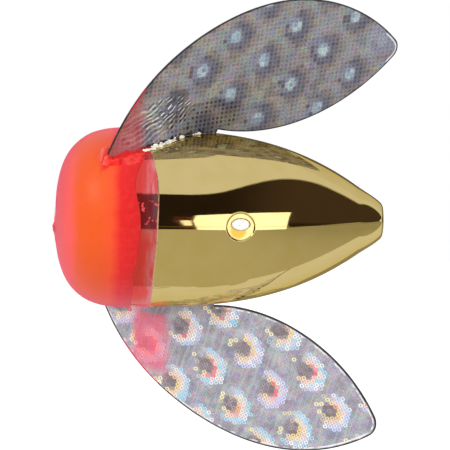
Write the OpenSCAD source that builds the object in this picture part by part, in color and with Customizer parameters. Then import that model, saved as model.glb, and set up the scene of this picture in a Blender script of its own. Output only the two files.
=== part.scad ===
// Winged drift spinner: a hollow buoyant body that spins on a fishing leader.
// The leader runs along +X through the line tube. The origin is the tube's mouth at the painted head,
// +Z points up to the upper wing, and -Y is the side with the moulding port.

/* [Body] */
// Length from the painted head to the flat tail
body_length = 38; // [34:0.5:42]
// Largest radius of the plated shells
body_radius = 10.27; // [9.5:0.01:11]
// Distance from the head at which the body is widest
shoulder_x = 8.7; // [8:0.1:10]
// Squareness of the domed head, 2 is round
nose_power = 2.8; // [2.2:0.1:3.4]
// Length over which the taper would run out to a point
taper_length = 31.45; // [31:0.05:36]
// Fullness of the taper
taper_power = 2.75; // [2.4:0.05:3]
// Wall of the moulded shells
wall = 1.1; // [0.8:0.1:1.4]
// Turn of the parting plane about the body's axis
parting_angle = 5.6; // [0:0.1:12]

/* [Line tube] */
// Radius of the way for the leader
bore_radius = 0.9; // [0.6:0.05:1]
// Outer radius of the tube
tube_radius = 1.4; // [1.3:0.05:1.6]
// Radius of the bosses that hold the tube
boss_radius = 2.3; // [2:0.1:2.6]
// Length of each boss from the body's end
boss_length = 5; // [3:0.5:7]

/* [Moulding port] */
// Distance of the port from the head
port_x = 20.9; // [20:0.1:24]
// Radius of the shallow recess round the port
port_radius = 1.55; // [1.3:0.05:1.8]
// Depth of that recess
port_recess = 0.35; // [0.2:0.05:0.5]
// Radius of the plug
plug_radius = 1; // [0.8:0.05:1.2]
// Thickness of the plug
plug_thickness = 0.55; // [0.4:0.05:0.6]

/* [Wings] */
// Thickness of the film
film_thickness = 0.15; // [0.1:0.01:0.2]
// Distance from the head at which the wing planes cross the axis
wing_station = 12.5; // [12:0.1:13]
// Turn of the upper wing from straight up towards the port side
wing_azimuth = 28; // [24:1:32]
// Angle between a wing's slot and the body's axis
wing_pitch = 30; // [26:1:34]
// Inner edge of the film in its slot, out from the axis
root_depth = 8.4; // [8:0.1:8.8]
// End of the glued root along the slot
root_end = 7.5; // [6.5:0.1:8]
// Height at which the film starts to flex, out from the axis
flex_height = 11; // [10.9:0.05:11.4]
// Slope of the flex line against the slot
flex_tilt = 5; // [3:0.5:6]
// Gap that stands for the flexing line
flex_gap = 0.15; // [0.1:0.01:0.3]

/* [Upper wing outline] */
// Radius of the leading edge
upper_lead_radius = 23.4; // [23.1:0.1:23.7]
// Centre of the leading edge along the slot
upper_lead_along = 13.6; // [13.3:0.1:13.9]
// Centre of the leading edge out from the axis
upper_lead_out = 1.0; // [0.7:0.1:1.3]
// Radius of the trailing edge
upper_trail_radius = 24; // [23.7:0.1:24.3]
// Centre of the trailing edge along the slot
upper_trail_along = 16; // [15.7:0.1:16.3]
// Centre of the trailing edge out from the axis
upper_trail_out = 32.2; // [31.9:0.1:32.5]
// Radius of the rounded tip
upper_tip_radius = 1.5; // [0.8:0.1:2.6]

/* [Lower wing outline] */
// Radius of the leading edge
lower_lead_radius = 22.7; // [22.4:0.1:23.0]
// Centre of the leading edge along the slot
lower_lead_along = 13.0; // [12.7:0.1:13.3]
// Centre of the leading edge out from the axis
lower_lead_out = 3.4; // [3.1:0.1:3.7]
// Radius of the trailing edge
lower_trail_radius = 18.7; // [18.4:0.1:19.0]
// Centre of the trailing edge along the slot
lower_trail_along = 12.2; // [11.9:0.1:12.5]
// Centre of the trailing edge out from the axis
lower_trail_out = 27.4; // [27.1:0.1:27.7]
// Radius of the rounded tip
lower_tip_radius = 2.2; // [0.8:0.1:2.6]

/* [Glue and paint] */
// Height of the glue bead over the body
glue_height = 0.7; // [0.4:0.05:0.75]
// Half width of the glue bead across the film
glue_half_width = 0.9; // [0.6:0.05:1.2]
// Edge of the opaque head paint
dip_edge = 9.4; // [9:0.1:10.5]
// Thickness of the head paint
dip_thickness = 0.17; // [0.12:0.01:0.25]
// Edge of the clear red lacquer
lacquer_edge = 11.8; // [11:0.1:13]
// Thickness of the lacquer
lacquer_thickness = 0.09; // [0.06:0.01:0.12]

/* [Hidden] */
UPPER = 0;
LOWER = 1;
// Outline values of both wings, upper first
lead_radius = [upper_lead_radius, lower_lead_radius];
lead_centre = [[upper_lead_along, upper_lead_out], [lower_lead_along, lower_lead_out]];
trail_radius = [upper_trail_radius, lower_trail_radius];
trail_centre = [[upper_trail_along, upper_trail_out], [lower_trail_along, lower_trail_out]];
tip_radius = [upper_tip_radius, lower_tip_radius];
$fn = 96;
// Depth of the domed head, so that its paint starts at the origin
nose_length = shoulder_x - dip_thickness;
nose_steps = 14;
taper_steps = 20;
// Small chamfer round the flat tail
tail_chamfer = 0.25;
// Clearance of bonded and painted faces
bond_gap = 0.02;
// Clearance of the film in its slot, each side
slot_gap = 0.05;
// Reach of the slot beyond the film's ends
slot_margin = 0.25;
slot_start = -9.3;
// Ends of the glue bead along the slot
glue_start = -9;
glue_end = root_end - 0.15;
// Locating lip of the lower shell inside the parting line
lip_thickness = 0.5;
lip_gap = 0.08;
lip_height = 0.9;
lip_start_x = 4;
lip_end_x = 30;
// Inner end of the cavity at the tail
cavity_end = 33;
// Block that is larger than the part
reach = 60;

gold = [0.80, 0.68, 0.30];
film_grey = [0.66, 0.66, 0.68];
fluorescent_orange = [0.95, 0.33, 0.16];
lacquer_red = [0.85, 0.20, 0.18, 0.6];
glue_red = [0.86, 0.22, 0.18];
natural_white = [0.93, 0.92, 0.88];

// Radius of the taper at a distance from the head
function taper_r(x) = body_radius * (1 - pow((x - shoulder_x) / taper_length, taper_power));

// Radius of the body at the port
port_r = taper_r(port_x);

// Domed head as a superellipse, grown by t
function nose_points(t) = [
    for (i = [0:nose_steps])
        let (a = 90 * i / nose_steps)
        [shoulder_x - (nose_length + t) * pow(cos(a), 2 / nose_power),
         (body_radius + t) * pow(sin(a), 2 / nose_power)]
];

// Taper from the shoulder to x_end, grown by t
function taper_points(t, x_end) = [
    for (i = [1:taper_steps])
        let (x = shoulder_x + (x_end - shoulder_x) * i / taper_steps)
        [x, taper_r(x) + t]
];

// Outline of the body with its tail chamfer, grown by t
function body_points(t) = concat(
    nose_points(t),
    taper_points(t, body_length - tail_chamfer),
    [[body_length, taper_r(body_length) - tail_chamfer + t], [body_length, 0]]
);

// Closed outline between an inner line and an outer line that run the same way
function band(inside, outside) = concat(inside, [for (i = [len(outside) - 1:-1:0]) outside[i]]);

// Line along the head and the taper to x_edge, grown by t
function skin_points(t, x_edge) = concat(nose_points(t), taper_points(t, x_edge));

// Radius of the domed head at a distance from the origin, grown by t
function nose_r(x, t) =
    (body_radius + t) * pow(1 - pow((shoulder_x - x) / (nose_length + t), nose_power), 1 / nose_power);

// Line that the locating lip follows inside the wall, grown by t
function lip_points(t) = [
    for (i = [0:taper_steps])
        let (x = lip_start_x + (lip_end_x - lip_start_x) * i / taper_steps)
        [x, x < shoulder_x ? nose_r(x, t) : taper_r(x) + t]
];

// Where two circles of radius ra and rb about a and b cross, on the side further along the slot
function circles_cross(a, ra, b, rb) =
    let (d = norm(b - a),
         e = (b - a) / d,
         along = (ra * ra - rb * rb + d * d) / (2 * d),
         side = sqrt(ra * ra - along * along))
    a + along * e + side * [e[1], -e[0]];

// Height of the flex line at a place along the slot
function flex_line(u) = flex_height - tan(flex_tilt) * u;

// Solid of revolution about X from points [x, radius]
module turned(points) {
    rotate([0, 90, 0])
        rotate_extrude()
            polygon([for (p = points) [p[1], p[0]]]);
}

// Cylinder along X
module rod(radius, x0, x1) {
    translate([x0, 0, 0])
        rotate([0, 90, 0])
            cylinder(r = radius, h = x1 - x0);
}

// Places a flat outline, drawn as [along the slot, out from the axis], in a wing's plane
module in_wing_plane(side, thickness) {
    rotate([180 * side, 0, 0])
        translate([wing_station, 0, 0])
            rotate([wing_azimuth, 0, 0])
                rotate([0, 0, wing_pitch])
                    rotate([90, 0, 0])
                        linear_extrude(height = thickness, center = true)
                            children();
}

// Rectangle from one corner to the other
module corner_square(low, high) {
    translate(low)
        square(high - low);
}

// Part of the film that is held in the slot and its glue, wider by gap
module root_zone(gap) {
    u0 = -reach;
    u1 = root_end + gap;
    polygon([[u0, 0], [u1, 0], [u1, flex_line(u1) + gap], [u0, flex_line(u0) + gap]]);
}

// Outline of one wing: two arcs that meet in a rounded tip, and a broad root
module wing_outline(side) {
    lead_c = lead_centre[side];
    trail_c = trail_centre[side];
    lead_r = lead_radius[side];
    trail_r = trail_radius[side];
    tip_r = tip_radius[side];
    tip = circles_cross(lead_c, lead_r, trail_c, trail_r);
    tip_c = circles_cross(lead_c, lead_r - tip_r, trail_c, trail_r - tip_r);
    lead_touch = lead_c + (tip_c - lead_c) * lead_r / (lead_r - tip_r);
    trail_touch = trail_c + (tip_c - trail_c) * trail_r / (trail_r - tip_r);
    difference() {
        intersection() {
            translate(lead_c)
                circle(lead_r);
            union() {
                translate(trail_c)
                    circle(trail_r);
                corner_square([slot_start, root_depth], [root_end, lead_c[1] + lead_r]);
            }
        }
        polygon([tip_c, lead_touch, tip + (tip - tip_c), trail_touch]);
    }
    translate(tip_c)
        circle(tip_r);
}

// Places a shape at the port, with its own Z pointing out of the body
module at_port() {
    rotate([parting_angle, 0, 0])
        translate([port_x, 0, 0])
            rotate([90, 0, 0])
                children();
}

// Moulded body before it is parted: wall, bosses, slots, line bore and port
module hollow_body() {
    difference() {
        turned(body_points(0));
        difference() {
            turned(concat(nose_points(-wall), taper_points(-wall, cavity_end), [[cavity_end, 0]]));
            rod(boss_radius, 0, boss_length);
            rod(boss_radius, body_length - boss_length - wall, body_length);
        }
        rod(tube_radius + bond_gap, -1, body_length + 1);
        for (side = [UPPER, LOWER])
            in_wing_plane(side, film_thickness + 2 * slot_gap)
                corner_square([slot_start, root_depth - slot_margin],
                              [root_end + slot_margin, flex_height + 2]);
        at_port() {
            translate([0, 0, port_r - port_recess])
                cylinder(r = port_radius, h = wall);
            translate([0, 0, port_r - 2 * wall])
                cylinder(r = plug_radius, h = 2 * wall);
        }
    }
}

// Half space on one side of the parting plane, from low to high
module parting_slab(low, high) {
    rotate([parting_angle, 0, 0])
        translate([-reach / 2, -reach, low])
            cube([2 * reach, 2 * reach, high - low]);
}

// Strip of the locating lip inside the wall, between two heights over the parting plane
module lip(low, high, clearance) {
    intersection() {
        turned(band(lip_points(-wall - lip_thickness), lip_points(-wall - clearance)));
        parting_slab(low, high);
    }
}

module upper_shell() {
    color(gold)
        intersection() {
            hollow_body();
            parting_slab(0, reach);
        }
}

module lower_shell() {
    color(gold) {
        intersection() {
            hollow_body();
            parting_slab(-reach, 0);
        }
        lip(0, lip_height, lip_gap);
        lip(-lip_height, 0, -lip_gap);
    }
}

module line_tube() {
    color(natural_white)
        difference() {
            rod(tube_radius, 0, body_length);
            rod(bore_radius, -1, body_length + 1);
        }
}

module port_plug() {
    color(natural_white)
        at_port()
            translate([0, 0, port_r - port_recess / 2 - plug_thickness])
                cylinder(r = plug_radius - bond_gap, h = plug_thickness);
}

// Glued strip of the film
module wing_root(side) {
    color(film_grey)
        in_wing_plane(side, film_thickness)
            intersection() {
                wing_outline(side);
                root_zone(0);
            }
}

// Free part of the film, which flexes about the line over its root
module wing_blade(side) {
    color(film_grey)
        in_wing_plane(side, film_thickness)
            difference() {
                wing_outline(side);
                root_zone(flex_gap);
            }
}

// Space round a wing's root that the glue takes, wider by gap
module glue_slab(side, gap) {
    in_wing_plane(side, 2 * (glue_half_width + gap))
        corner_square([glue_start - gap, 0], [glue_end + gap, reach]);
}

module root_glue(side) {
    color(glue_red)
        difference() {
            intersection() {
                turned(body_points(glue_height));
                glue_slab(side, 0);
            }
            turned(body_points(bond_gap));
            in_wing_plane(side, film_thickness + 2 * bond_gap)
                corner_square([slot_start, 0], [root_end, reach]);
        }
}

// Coat of paint over the body between two places, open at the mouth and round the glue
module coat(points) {
    difference() {
        turned(points);
        rod(tube_radius + bond_gap, -1, 1);
        for (side = [UPPER, LOWER])
            glue_slab(side, bond_gap);
    }
}

module head_dip() {
    color(fluorescent_orange)
        coat(band(skin_points(bond_gap, dip_edge), skin_points(dip_thickness, dip_edge)));
}

module lacquer_band() {
    color(lacquer_red)
        coat([
            [dip_edge, taper_r(dip_edge) + bond_gap],
            [lacquer_edge, taper_r(lacquer_edge) + bond_gap],
            [lacquer_edge, taper_r(lacquer_edge) + lacquer_thickness],
            [dip_edge, taper_r(dip_edge) + lacquer_thickness]
        ]);
}

upper_shell();
lower_shell();
line_tube();
port_plug();
wing_root(UPPER);  // upper_wing_root
wing_root(LOWER);  // lower_wing_root
wing_blade(UPPER);  // upper_wing_blade
wing_blade(LOWER);  // lower_wing_blade
root_glue(UPPER);  // upper_root_glue
root_glue(LOWER);  // lower_root_glue
head_dip();
lacquer_band();
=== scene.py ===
"""Looks of a winged drift spinner: a plated hollow body, a dipped head and two film wings.

Sizes are in millimetres in the frame of the CAD model: the body's axis is X with the painted head at
the origin, +Z points up to the upper wing, and -Y is the side with the moulding port. Meshes are
written in metres.
"""

import logging
import math
import random
from dataclasses import dataclass, field, replace
from enum import Enum
from functools import partial, reduce

import bpy
import numpy as np
from mathutils import Matrix, Vector, noise


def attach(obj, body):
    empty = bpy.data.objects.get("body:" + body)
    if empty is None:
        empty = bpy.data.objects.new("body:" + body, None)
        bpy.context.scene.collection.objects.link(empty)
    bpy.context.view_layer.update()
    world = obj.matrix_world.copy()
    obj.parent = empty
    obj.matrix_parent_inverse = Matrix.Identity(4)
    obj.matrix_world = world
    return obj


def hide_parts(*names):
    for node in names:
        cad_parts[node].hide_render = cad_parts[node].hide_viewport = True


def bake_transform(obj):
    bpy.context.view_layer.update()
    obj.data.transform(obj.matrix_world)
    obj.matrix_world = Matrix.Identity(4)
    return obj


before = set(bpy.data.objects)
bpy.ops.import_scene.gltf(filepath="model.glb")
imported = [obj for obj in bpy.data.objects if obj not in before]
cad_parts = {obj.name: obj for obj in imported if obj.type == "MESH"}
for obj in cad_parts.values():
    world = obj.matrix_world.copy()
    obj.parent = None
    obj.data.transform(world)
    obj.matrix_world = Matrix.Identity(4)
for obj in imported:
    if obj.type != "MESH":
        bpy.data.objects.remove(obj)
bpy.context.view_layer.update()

Colour = tuple[float, float, float, float]
Tones = tuple[Colour, Colour]
Point2 = tuple[float, float]
Steps = tuple[Point2, Point2]
Faces = list[tuple[int, ...]]
Socket = bpy.types.NodeSocket
Material = bpy.types.Material
Piece = bpy.types.Object
Value = float | Colour | Socket
Pair = tuple[Socket, Socket]
Inputs = dict[str | int, Value]

LOG = logging.getLogger("winged_spinner")
MM = 0.001
AIM = (19.0, 0.0, 0.0)
FLOOR_Z = -33.0
NOWHERE: Point2 = (0.0, -99.0)
GREY: Colour = (1.0, 0.985, 0.96, 1.0)
OLIVE: Colour = (1.0, 0.94, 0.7, 1.0)
DARK_CLOTH: Colour = (1.0, 0.63, 0.46, 1.0)
RUST: Colour = (1.0, 0.3, 0.16, 1.0)


class Wing(Enum):
    """The two wings, each with the sign that turns the upper wing's frame into its own."""

    UPPER = 1
    LOWER = -1


class Face(Enum):
    """The two faces of the holographic film."""

    DULL = "dull"
    BRIGHT = "bright"


def srgb(red: float, green: float, blue: float) -> Colour:
    """Scene colour of a display colour.

    Args:
        red, green, blue: display values from 0 to 255.

    Returns:
        The linear colour with an alpha of 1.
    """
    values = [c / 255 for c in (red, green, blue)]
    linear = [c / 12.92 if c <= 0.04045 else ((c + 0.055) / 1.055) ** 2.4 for c in values]
    return (*linear, 1.0)


def smooth(low: float, high: float, value: np.ndarray) -> np.ndarray:
    """Smooth step of a value between two limits, which may run either way."""
    share = np.clip((value - low) / (high - low), 0, 1)
    return share * share * (3 - 2 * share)


def lumps(points: np.ndarray, size: float) -> np.ndarray:
    """Even noise from about -1 to 1 at points, with lumps of that size in millimetres."""
    return np.array([noise.noise(Vector(p) / size) for p in points])


def swing(line: np.ndarray, turn: float) -> np.ndarray:
    """Points of an outline [x, radius] that is turned about the body's axis, from -Y towards +Z."""
    x, radius = line.T
    return np.stack([x, -radius * math.cos(turn), radius * math.sin(turn)], 1)


class Graph:
    """Node tree of a material or of the world that is built step by step."""

    def __init__(self, name: str, world: bool = False) -> None:
        """Starts an empty node tree.

        Args:
            name: name of the new material or world.
            world: whether it is a world.
        """
        self.owner = (bpy.data.worlds if world else bpy.data.materials).new(name)
        self.owner.use_nodes = True
        self.tree = self.owner.node_tree
        self.tree.nodes.clear()

    def add(self, kind: str, inputs: Inputs | None = None, **settings: str | bool) -> bpy.types.Node:
        """Adds a node.

        Args:
            kind: the node's type.
            inputs: values, colours or sockets for its inputs, by their names or numbers.
            settings: its properties.

        Returns:
            The new node.
        """
        node = self.tree.nodes.new(kind)
        for key, value in settings.items():
            setattr(node, key, value)
        for key, value in (inputs or {}).items():
            if isinstance(value, Socket):
                self.tree.links.new(value, node.inputs[key])
            else:
                node.inputs[key].default_value = value
        return node

    def math(self, kind: str, *values: Value, clamp: bool = False) -> Socket:
        """Result of a sum of that kind, which may be held from 0 to 1."""
        inputs = dict(enumerate(values))
        return self.add("ShaderNodeMath", inputs, operation=kind, use_clamp=clamp).outputs[0]

    def times(self, *values: Value) -> Socket:
        """Product of two or more values."""
        return reduce(partial(self.math, "MULTIPLY"), values)

    def plus(self, first: Value, second: Value) -> Socket:
        """Sum of two values."""
        return self.math("ADD", first, second)

    def minus(self, first: Value, second: Value) -> Socket:
        """First value less the second."""
        return self.math("SUBTRACT", first, second)

    def scaled(self, value: Value, factor: Value, offset: Value = 0.0) -> Socket:
        """Value times a factor plus an offset."""
        return self.math("MULTIPLY_ADD", value, factor, offset)

    def length(self, first: Value, second: Value) -> Socket:
        """Length of a vector of two values."""
        return self.math("SQRT", self.plus(self.times(first, first), self.times(second, second)))

    def step(self, value: Value, low: Value, high: Value) -> Socket:
        """Smooth step over a value from 0 at low to 1 at high, which may run either way."""
        inputs = {"Value": value, "From Min": low, "From Max": high}
        return self.add("ShaderNodeMapRange", inputs, interpolation_type="SMOOTHSTEP").outputs["Result"]

    def band(self, value: Value, low: float, high: float, soft: float) -> Socket:
        """Share that is 1 between low and high, with ends that are softened both ways."""
        rise = self.step(value, low - soft, low + soft)
        return self.times(rise, self.step(value, high + soft, high - soft))

    def mix(self, share: Value, first: Value, second: Value, kind: str = "MIX") -> Socket:
        """Two colours mixed or blended, with that share of the second."""
        inputs = {0: share, 6: first, 7: second}
        return self.add("ShaderNodeMix", inputs, data_type="RGBA", blend_type=kind).outputs[2]

    def over(self, colour: Value, share: Value, strength: float, top: Value) -> Socket:
        """Colour with another one laid over it, by a share times a strength."""
        return self.mix(self.times(share, strength), colour, top)

    def ramp(self, value: Value, *stops: tuple[float, Colour]) -> Socket:
        """Colour ramp over a value.

        Args:
            value: where on the ramp, from 0 to 1.
            stops: places and colours.

        Returns:
            The colour's socket.
        """
        node = self.add("ShaderNodeValToRGB", {0: value})
        elements = node.color_ramp.elements
        while len(elements) < len(stops):
            elements.new(0.5)
        for element, (place, colour) in zip(elements, stops):
            element.position = place
            element.color = colour
        return node.outputs[0]

    def noise(self, vector: Socket, scale: float, detail: float = 2.0, output: str = "Fac") -> Socket:
        """Noise at a place: one value, or three if the output is Color."""
        inputs = {"Vector": vector, "Scale": scale, "Detail": detail}
        return self.add("ShaderNodeTexNoise", inputs).outputs[output]

    def random(self, first: Value, second: Value, seed: float, output: str = "Value") -> Socket:
        """Random value for each pair of whole numbers, or three if the output is Color."""
        inputs = {"Vector": self.join(first, second, seed)}
        return self.add("ShaderNodeTexWhiteNoise", inputs, noise_dimensions="3D").outputs[output]

    def join(self, *values: Value) -> Socket:
        """Vector of up to three values."""
        return self.add("ShaderNodeCombineXYZ", dict(enumerate(values))).outputs[0]

    def parts(self, vector: Socket) -> tuple[Socket, ...]:
        """The three values of a vector."""
        return tuple(self.add("ShaderNodeSeparateXYZ", {0: vector}).outputs)

    def stretched(self, vector: Socket, *factors: float) -> Socket:
        """Vector whose values are each times a factor."""
        return self.join(*map(self.scaled, self.parts(vector), factors))

    def vector_math(self, kind: str, inputs: Inputs, output: str = "Vector") -> Socket:
        """Result of a sum of that kind with vectors."""
        return self.add("ShaderNodeVectorMath", inputs, operation=kind).outputs[output]

    def place(self) -> Socket:
        """Place on the piece in millimetres."""
        where = self.add("ShaderNodeTexCoord").outputs["Object"]
        return self.vector_math("SCALE", {0: where, "Scale": 1 / MM})

    def along(self, vector: Socket, origin: np.ndarray, axis: np.ndarray) -> Socket:
        """How far a place is from an origin along an axis."""
        shift = self.vector_math("SUBTRACT", {0: vector, 1: origin})
        return self.vector_math("DOT_PRODUCT", {0: shift, 1: axis}, "Value")

    def map(self, name: str) -> Socket:
        """Coordinates that a mesh keeps in one of its maps."""
        return self.add("ShaderNodeUVMap", uv_map=name).outputs[0]

    def bump(self, height: Socket, depth: float) -> Socket:
        """Normal that is bumped by a height of up to depth millimetres."""
        inputs = {"Height": height, "Distance": depth * MM, "Strength": 1.0}
        return self.add("ShaderNodeBump", inputs).outputs[0]

    def seen(self) -> Socket:
        """Tells what is looked at from what only gives light.

        Returns:
            A share that is 1 for the camera, mirrors and glass, and 0 for other light.
        """
        path = self.add("ShaderNodeLightPath").outputs
        seen = self.plus(path["Is Camera Ray"], path["Is Glossy Ray"])
        return self.math("ADD", seen, path["Is Transmission Ray"], clamp=True)

    def end(self, shader: bpy.types.Node, kind: str = "ShaderNodeOutputMaterial") -> None:
        """Links a shader to the tree's output."""
        self.add(kind, {0: shader.outputs[0]})

    def finish(self, **sockets: Value) -> Material:
        """Ends the material in one Principled shader.

        Args:
            sockets: values of its sockets, with underscores for the spaces in their names.

        Returns:
            The finished material.
        """
        inputs = {name.replace("_", " "): value for name, value in sockets.items()}
        self.end(self.add("ShaderNodeBsdfPrincipled", inputs))
        return self.owner


def put(name: str, data: bpy.types.ID) -> Piece:
    """Puts an object into the scene.

    Args:
        name: its name.
        data: the mesh, camera or lamp that it holds.

    Returns:
        The new object.
    """
    item = bpy.data.objects.new(name, data)
    bpy.context.scene.collection.objects.link(item)
    return item


def add_mesh(name: str, points: np.ndarray, faces: Faces, sharp: float = 40.0) -> Piece:
    """Makes a smooth-shaded mesh object.

    Args:
        name: the piece's name.
        points: rows of x, y, z in millimetres.
        faces: corner numbers of each face.
        sharp: angle in degrees above which an edge stays sharp.

    Returns:
        The new object.
    """
    mesh = bpy.data.meshes.new(name)
    mesh.from_pydata((np.asarray(points) * MM).tolist(), [], faces)
    mesh.validate()
    mesh.shade_smooth()
    mesh.set_sharp_from_angle(angle=math.radians(sharp))
    return put(name, mesh)


def grid_faces(rows: int, columns: int, first: int = 0, wrap: bool = False) -> Faces:
    """Quads of a grid of points that is stored row by row.

    Args:
        rows, columns: its size.
        first: number of its first point.
        wrap: whether the last column joins the first.

    Returns:
        The quads.
    """
    faces = []
    for i in range(rows - 1):
        for j in range(columns if wrap else columns - 1):
            k = (j + 1) % columns
            a = first + i * columns
            faces.append((a + j, a + k, a + columns + k, a + columns + j))
    return faces


def fan_faces(first: int, columns: int, tip: int) -> Faces:
    """Triangles from a closed row of points, which starts at number first, to the point numbered tip."""
    return [(first + j, first + (j + 1) % columns, tip) for j in range(columns)]


def turned(faces: Faces) -> Faces:
    """The same faces, looking the other way."""
    return [face[::-1] for face in faces]


def shifted(faces: Faces, start: int) -> Faces:
    """The same faces on points that are stored from number start on."""
    return [tuple(start + corner for corner in face) for face in faces]


def dress(piece: Piece, *materials: Material) -> None:
    """Gives a piece its materials.

    Args:
        piece: the piece.
        materials: the materials in the order of their slots.
    """
    slots = piece.data.materials
    for number, material in enumerate(materials):
        if number < len(slots):
            slots[number] = material
        else:
            slots.append(material)


def settle(piece: Piece, slot: str, *nodes: str) -> None:
    """Makes a piece ride on the body in place of CAD nodes.

    Args:
        piece: the piece.
        slot: name of a material slot; not used.
        nodes: the CAD nodes that it stands for.
    """
    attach(piece, "body")
    if nodes:
        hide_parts(*nodes)
    LOG.info("%s: %d faces", piece.name, len(piece.data.polygons))


@dataclass
class WingPlane:
    """Plane of one wing's film: along the slot, out from the axis, and through the film."""

    wing: Wing
    station: float = 12.5
    azimuth: float = 28.0
    pitch: float = 30.0
    origin: np.ndarray = field(init=False)
    axes: np.ndarray = field(init=False)

    def __post_init__(self) -> None:
        """Works out the plane's origin and its three axes."""
        turn, slant = math.radians(self.azimuth), math.radians(self.pitch)
        out = np.array([0, -math.sin(turn), math.cos(turn)])
        round_body = np.array([0, math.cos(turn), math.sin(turn)])
        along = np.array([math.cos(slant), 0, 0]) + math.sin(slant) * round_body
        through = np.array([-math.sin(slant), 0, 0]) + math.cos(slant) * round_body
        flip = np.array([1, self.wing.value, self.wing.value])
        self.origin = np.array([self.station, 0, 0])
        self.axes = np.stack([along, out, through]) * flip


@dataclass(frozen=True)
class Plating:
    """Bright gold plating over moulded plastic, with painted shade in the lower part of the moulding port's
    recess.

    The port lies on the parting line, which is turned down from -Y by a few degrees.
    """

    parting: float
    colour: Colour = (0.93, 0.75, 0.335, 1.0)
    tarnish: Colour = (0.9, 0.71, 0.29, 1.0)
    edge: Colour = (0.86, 0.72, 0.4, 1.0)
    # brown painted shade in the lower part of the port's recess
    port_shade: Colour = (0.66, 0.43, 0.08, 1.0)
    shade_place: Point2 = (20.65, -0.45)
    shade_radius: float = 1.2
    shade_soft: float = 0.5
    roughness: Point2 = (0.03, 0.03)
    ripple_size: float = 2.2
    ripple_depth: float = 0.0035
    drawn_stretch: tuple[float, float, float] = (0.2, 0.8, 0.8)
    drawn_depth: float = 0.12
    drawn_from: Point2 = (6.9, 8.2)

    def drawn(self, graph: Graph, place: Socket) -> Socket:
        """Height of the long shallow waves beside the wings' slots, as a share of their depth."""
        wave = graph.noise(graph.stretched(place, *self.drawn_stretch), 1.0)
        return graph.times(wave, graph.step(graph.math("ABSOLUTE", graph.parts(place)[2]), *self.drawn_from))

    def port_shade_share(self, graph: Graph, place: Socket, grain: Socket) -> Socket:
        """Share of the brown painted shade in the lower part of the moulding port's recess.

        Args:
            graph: the material.
            place: the place on the piece.
            grain: fine noise that breaks up its edge.

        Returns:
            The share's socket.
        """
        x, y, z = graph.parts(place)
        tilt = math.radians(self.parting)
        up = graph.plus(graph.scaled(y, -math.sin(tilt)), graph.scaled(z, math.cos(tilt)))
        away = graph.length(graph.minus(x, self.shade_place[0]), graph.minus(up, self.shade_place[1]))
        ragged = graph.plus(away, graph.scaled(grain, 0.5, -0.25))
        near = graph.step(ragged, self.shade_radius, self.shade_radius - self.shade_soft)
        port_side = graph.step(y, 0.0, -1.0)
        return graph.times(near, port_side)

    def material(self) -> Material:
        """Builds the plating.

        Returns:
            The material.
        """
        graph = Graph("gold_plating")
        place = graph.place()
        blotch = graph.noise(place, 0.35, 3.0)
        grain = graph.noise(place, 9.0)
        ripple = graph.noise(place, 1 / self.ripple_size)
        colour = graph.mix(graph.step(blotch, 0.35, 0.75), self.colour, self.tarnish)
        height = graph.scaled(ripple, self.ripple_depth / self.drawn_depth, self.drawn(graph, place))
        return graph.finish(
            # painted shade: the port's lower part is darkened to brown
            Base_Color=graph.mix(self.port_shade_share(graph, place, grain), colour, self.port_shade),
            Metallic=1.0,
            Roughness=graph.scaled(grain, *self.roughness),
            Specular_Tint=self.edge,
            Normal=graph.bump(height, self.drawn_depth),
        )


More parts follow.
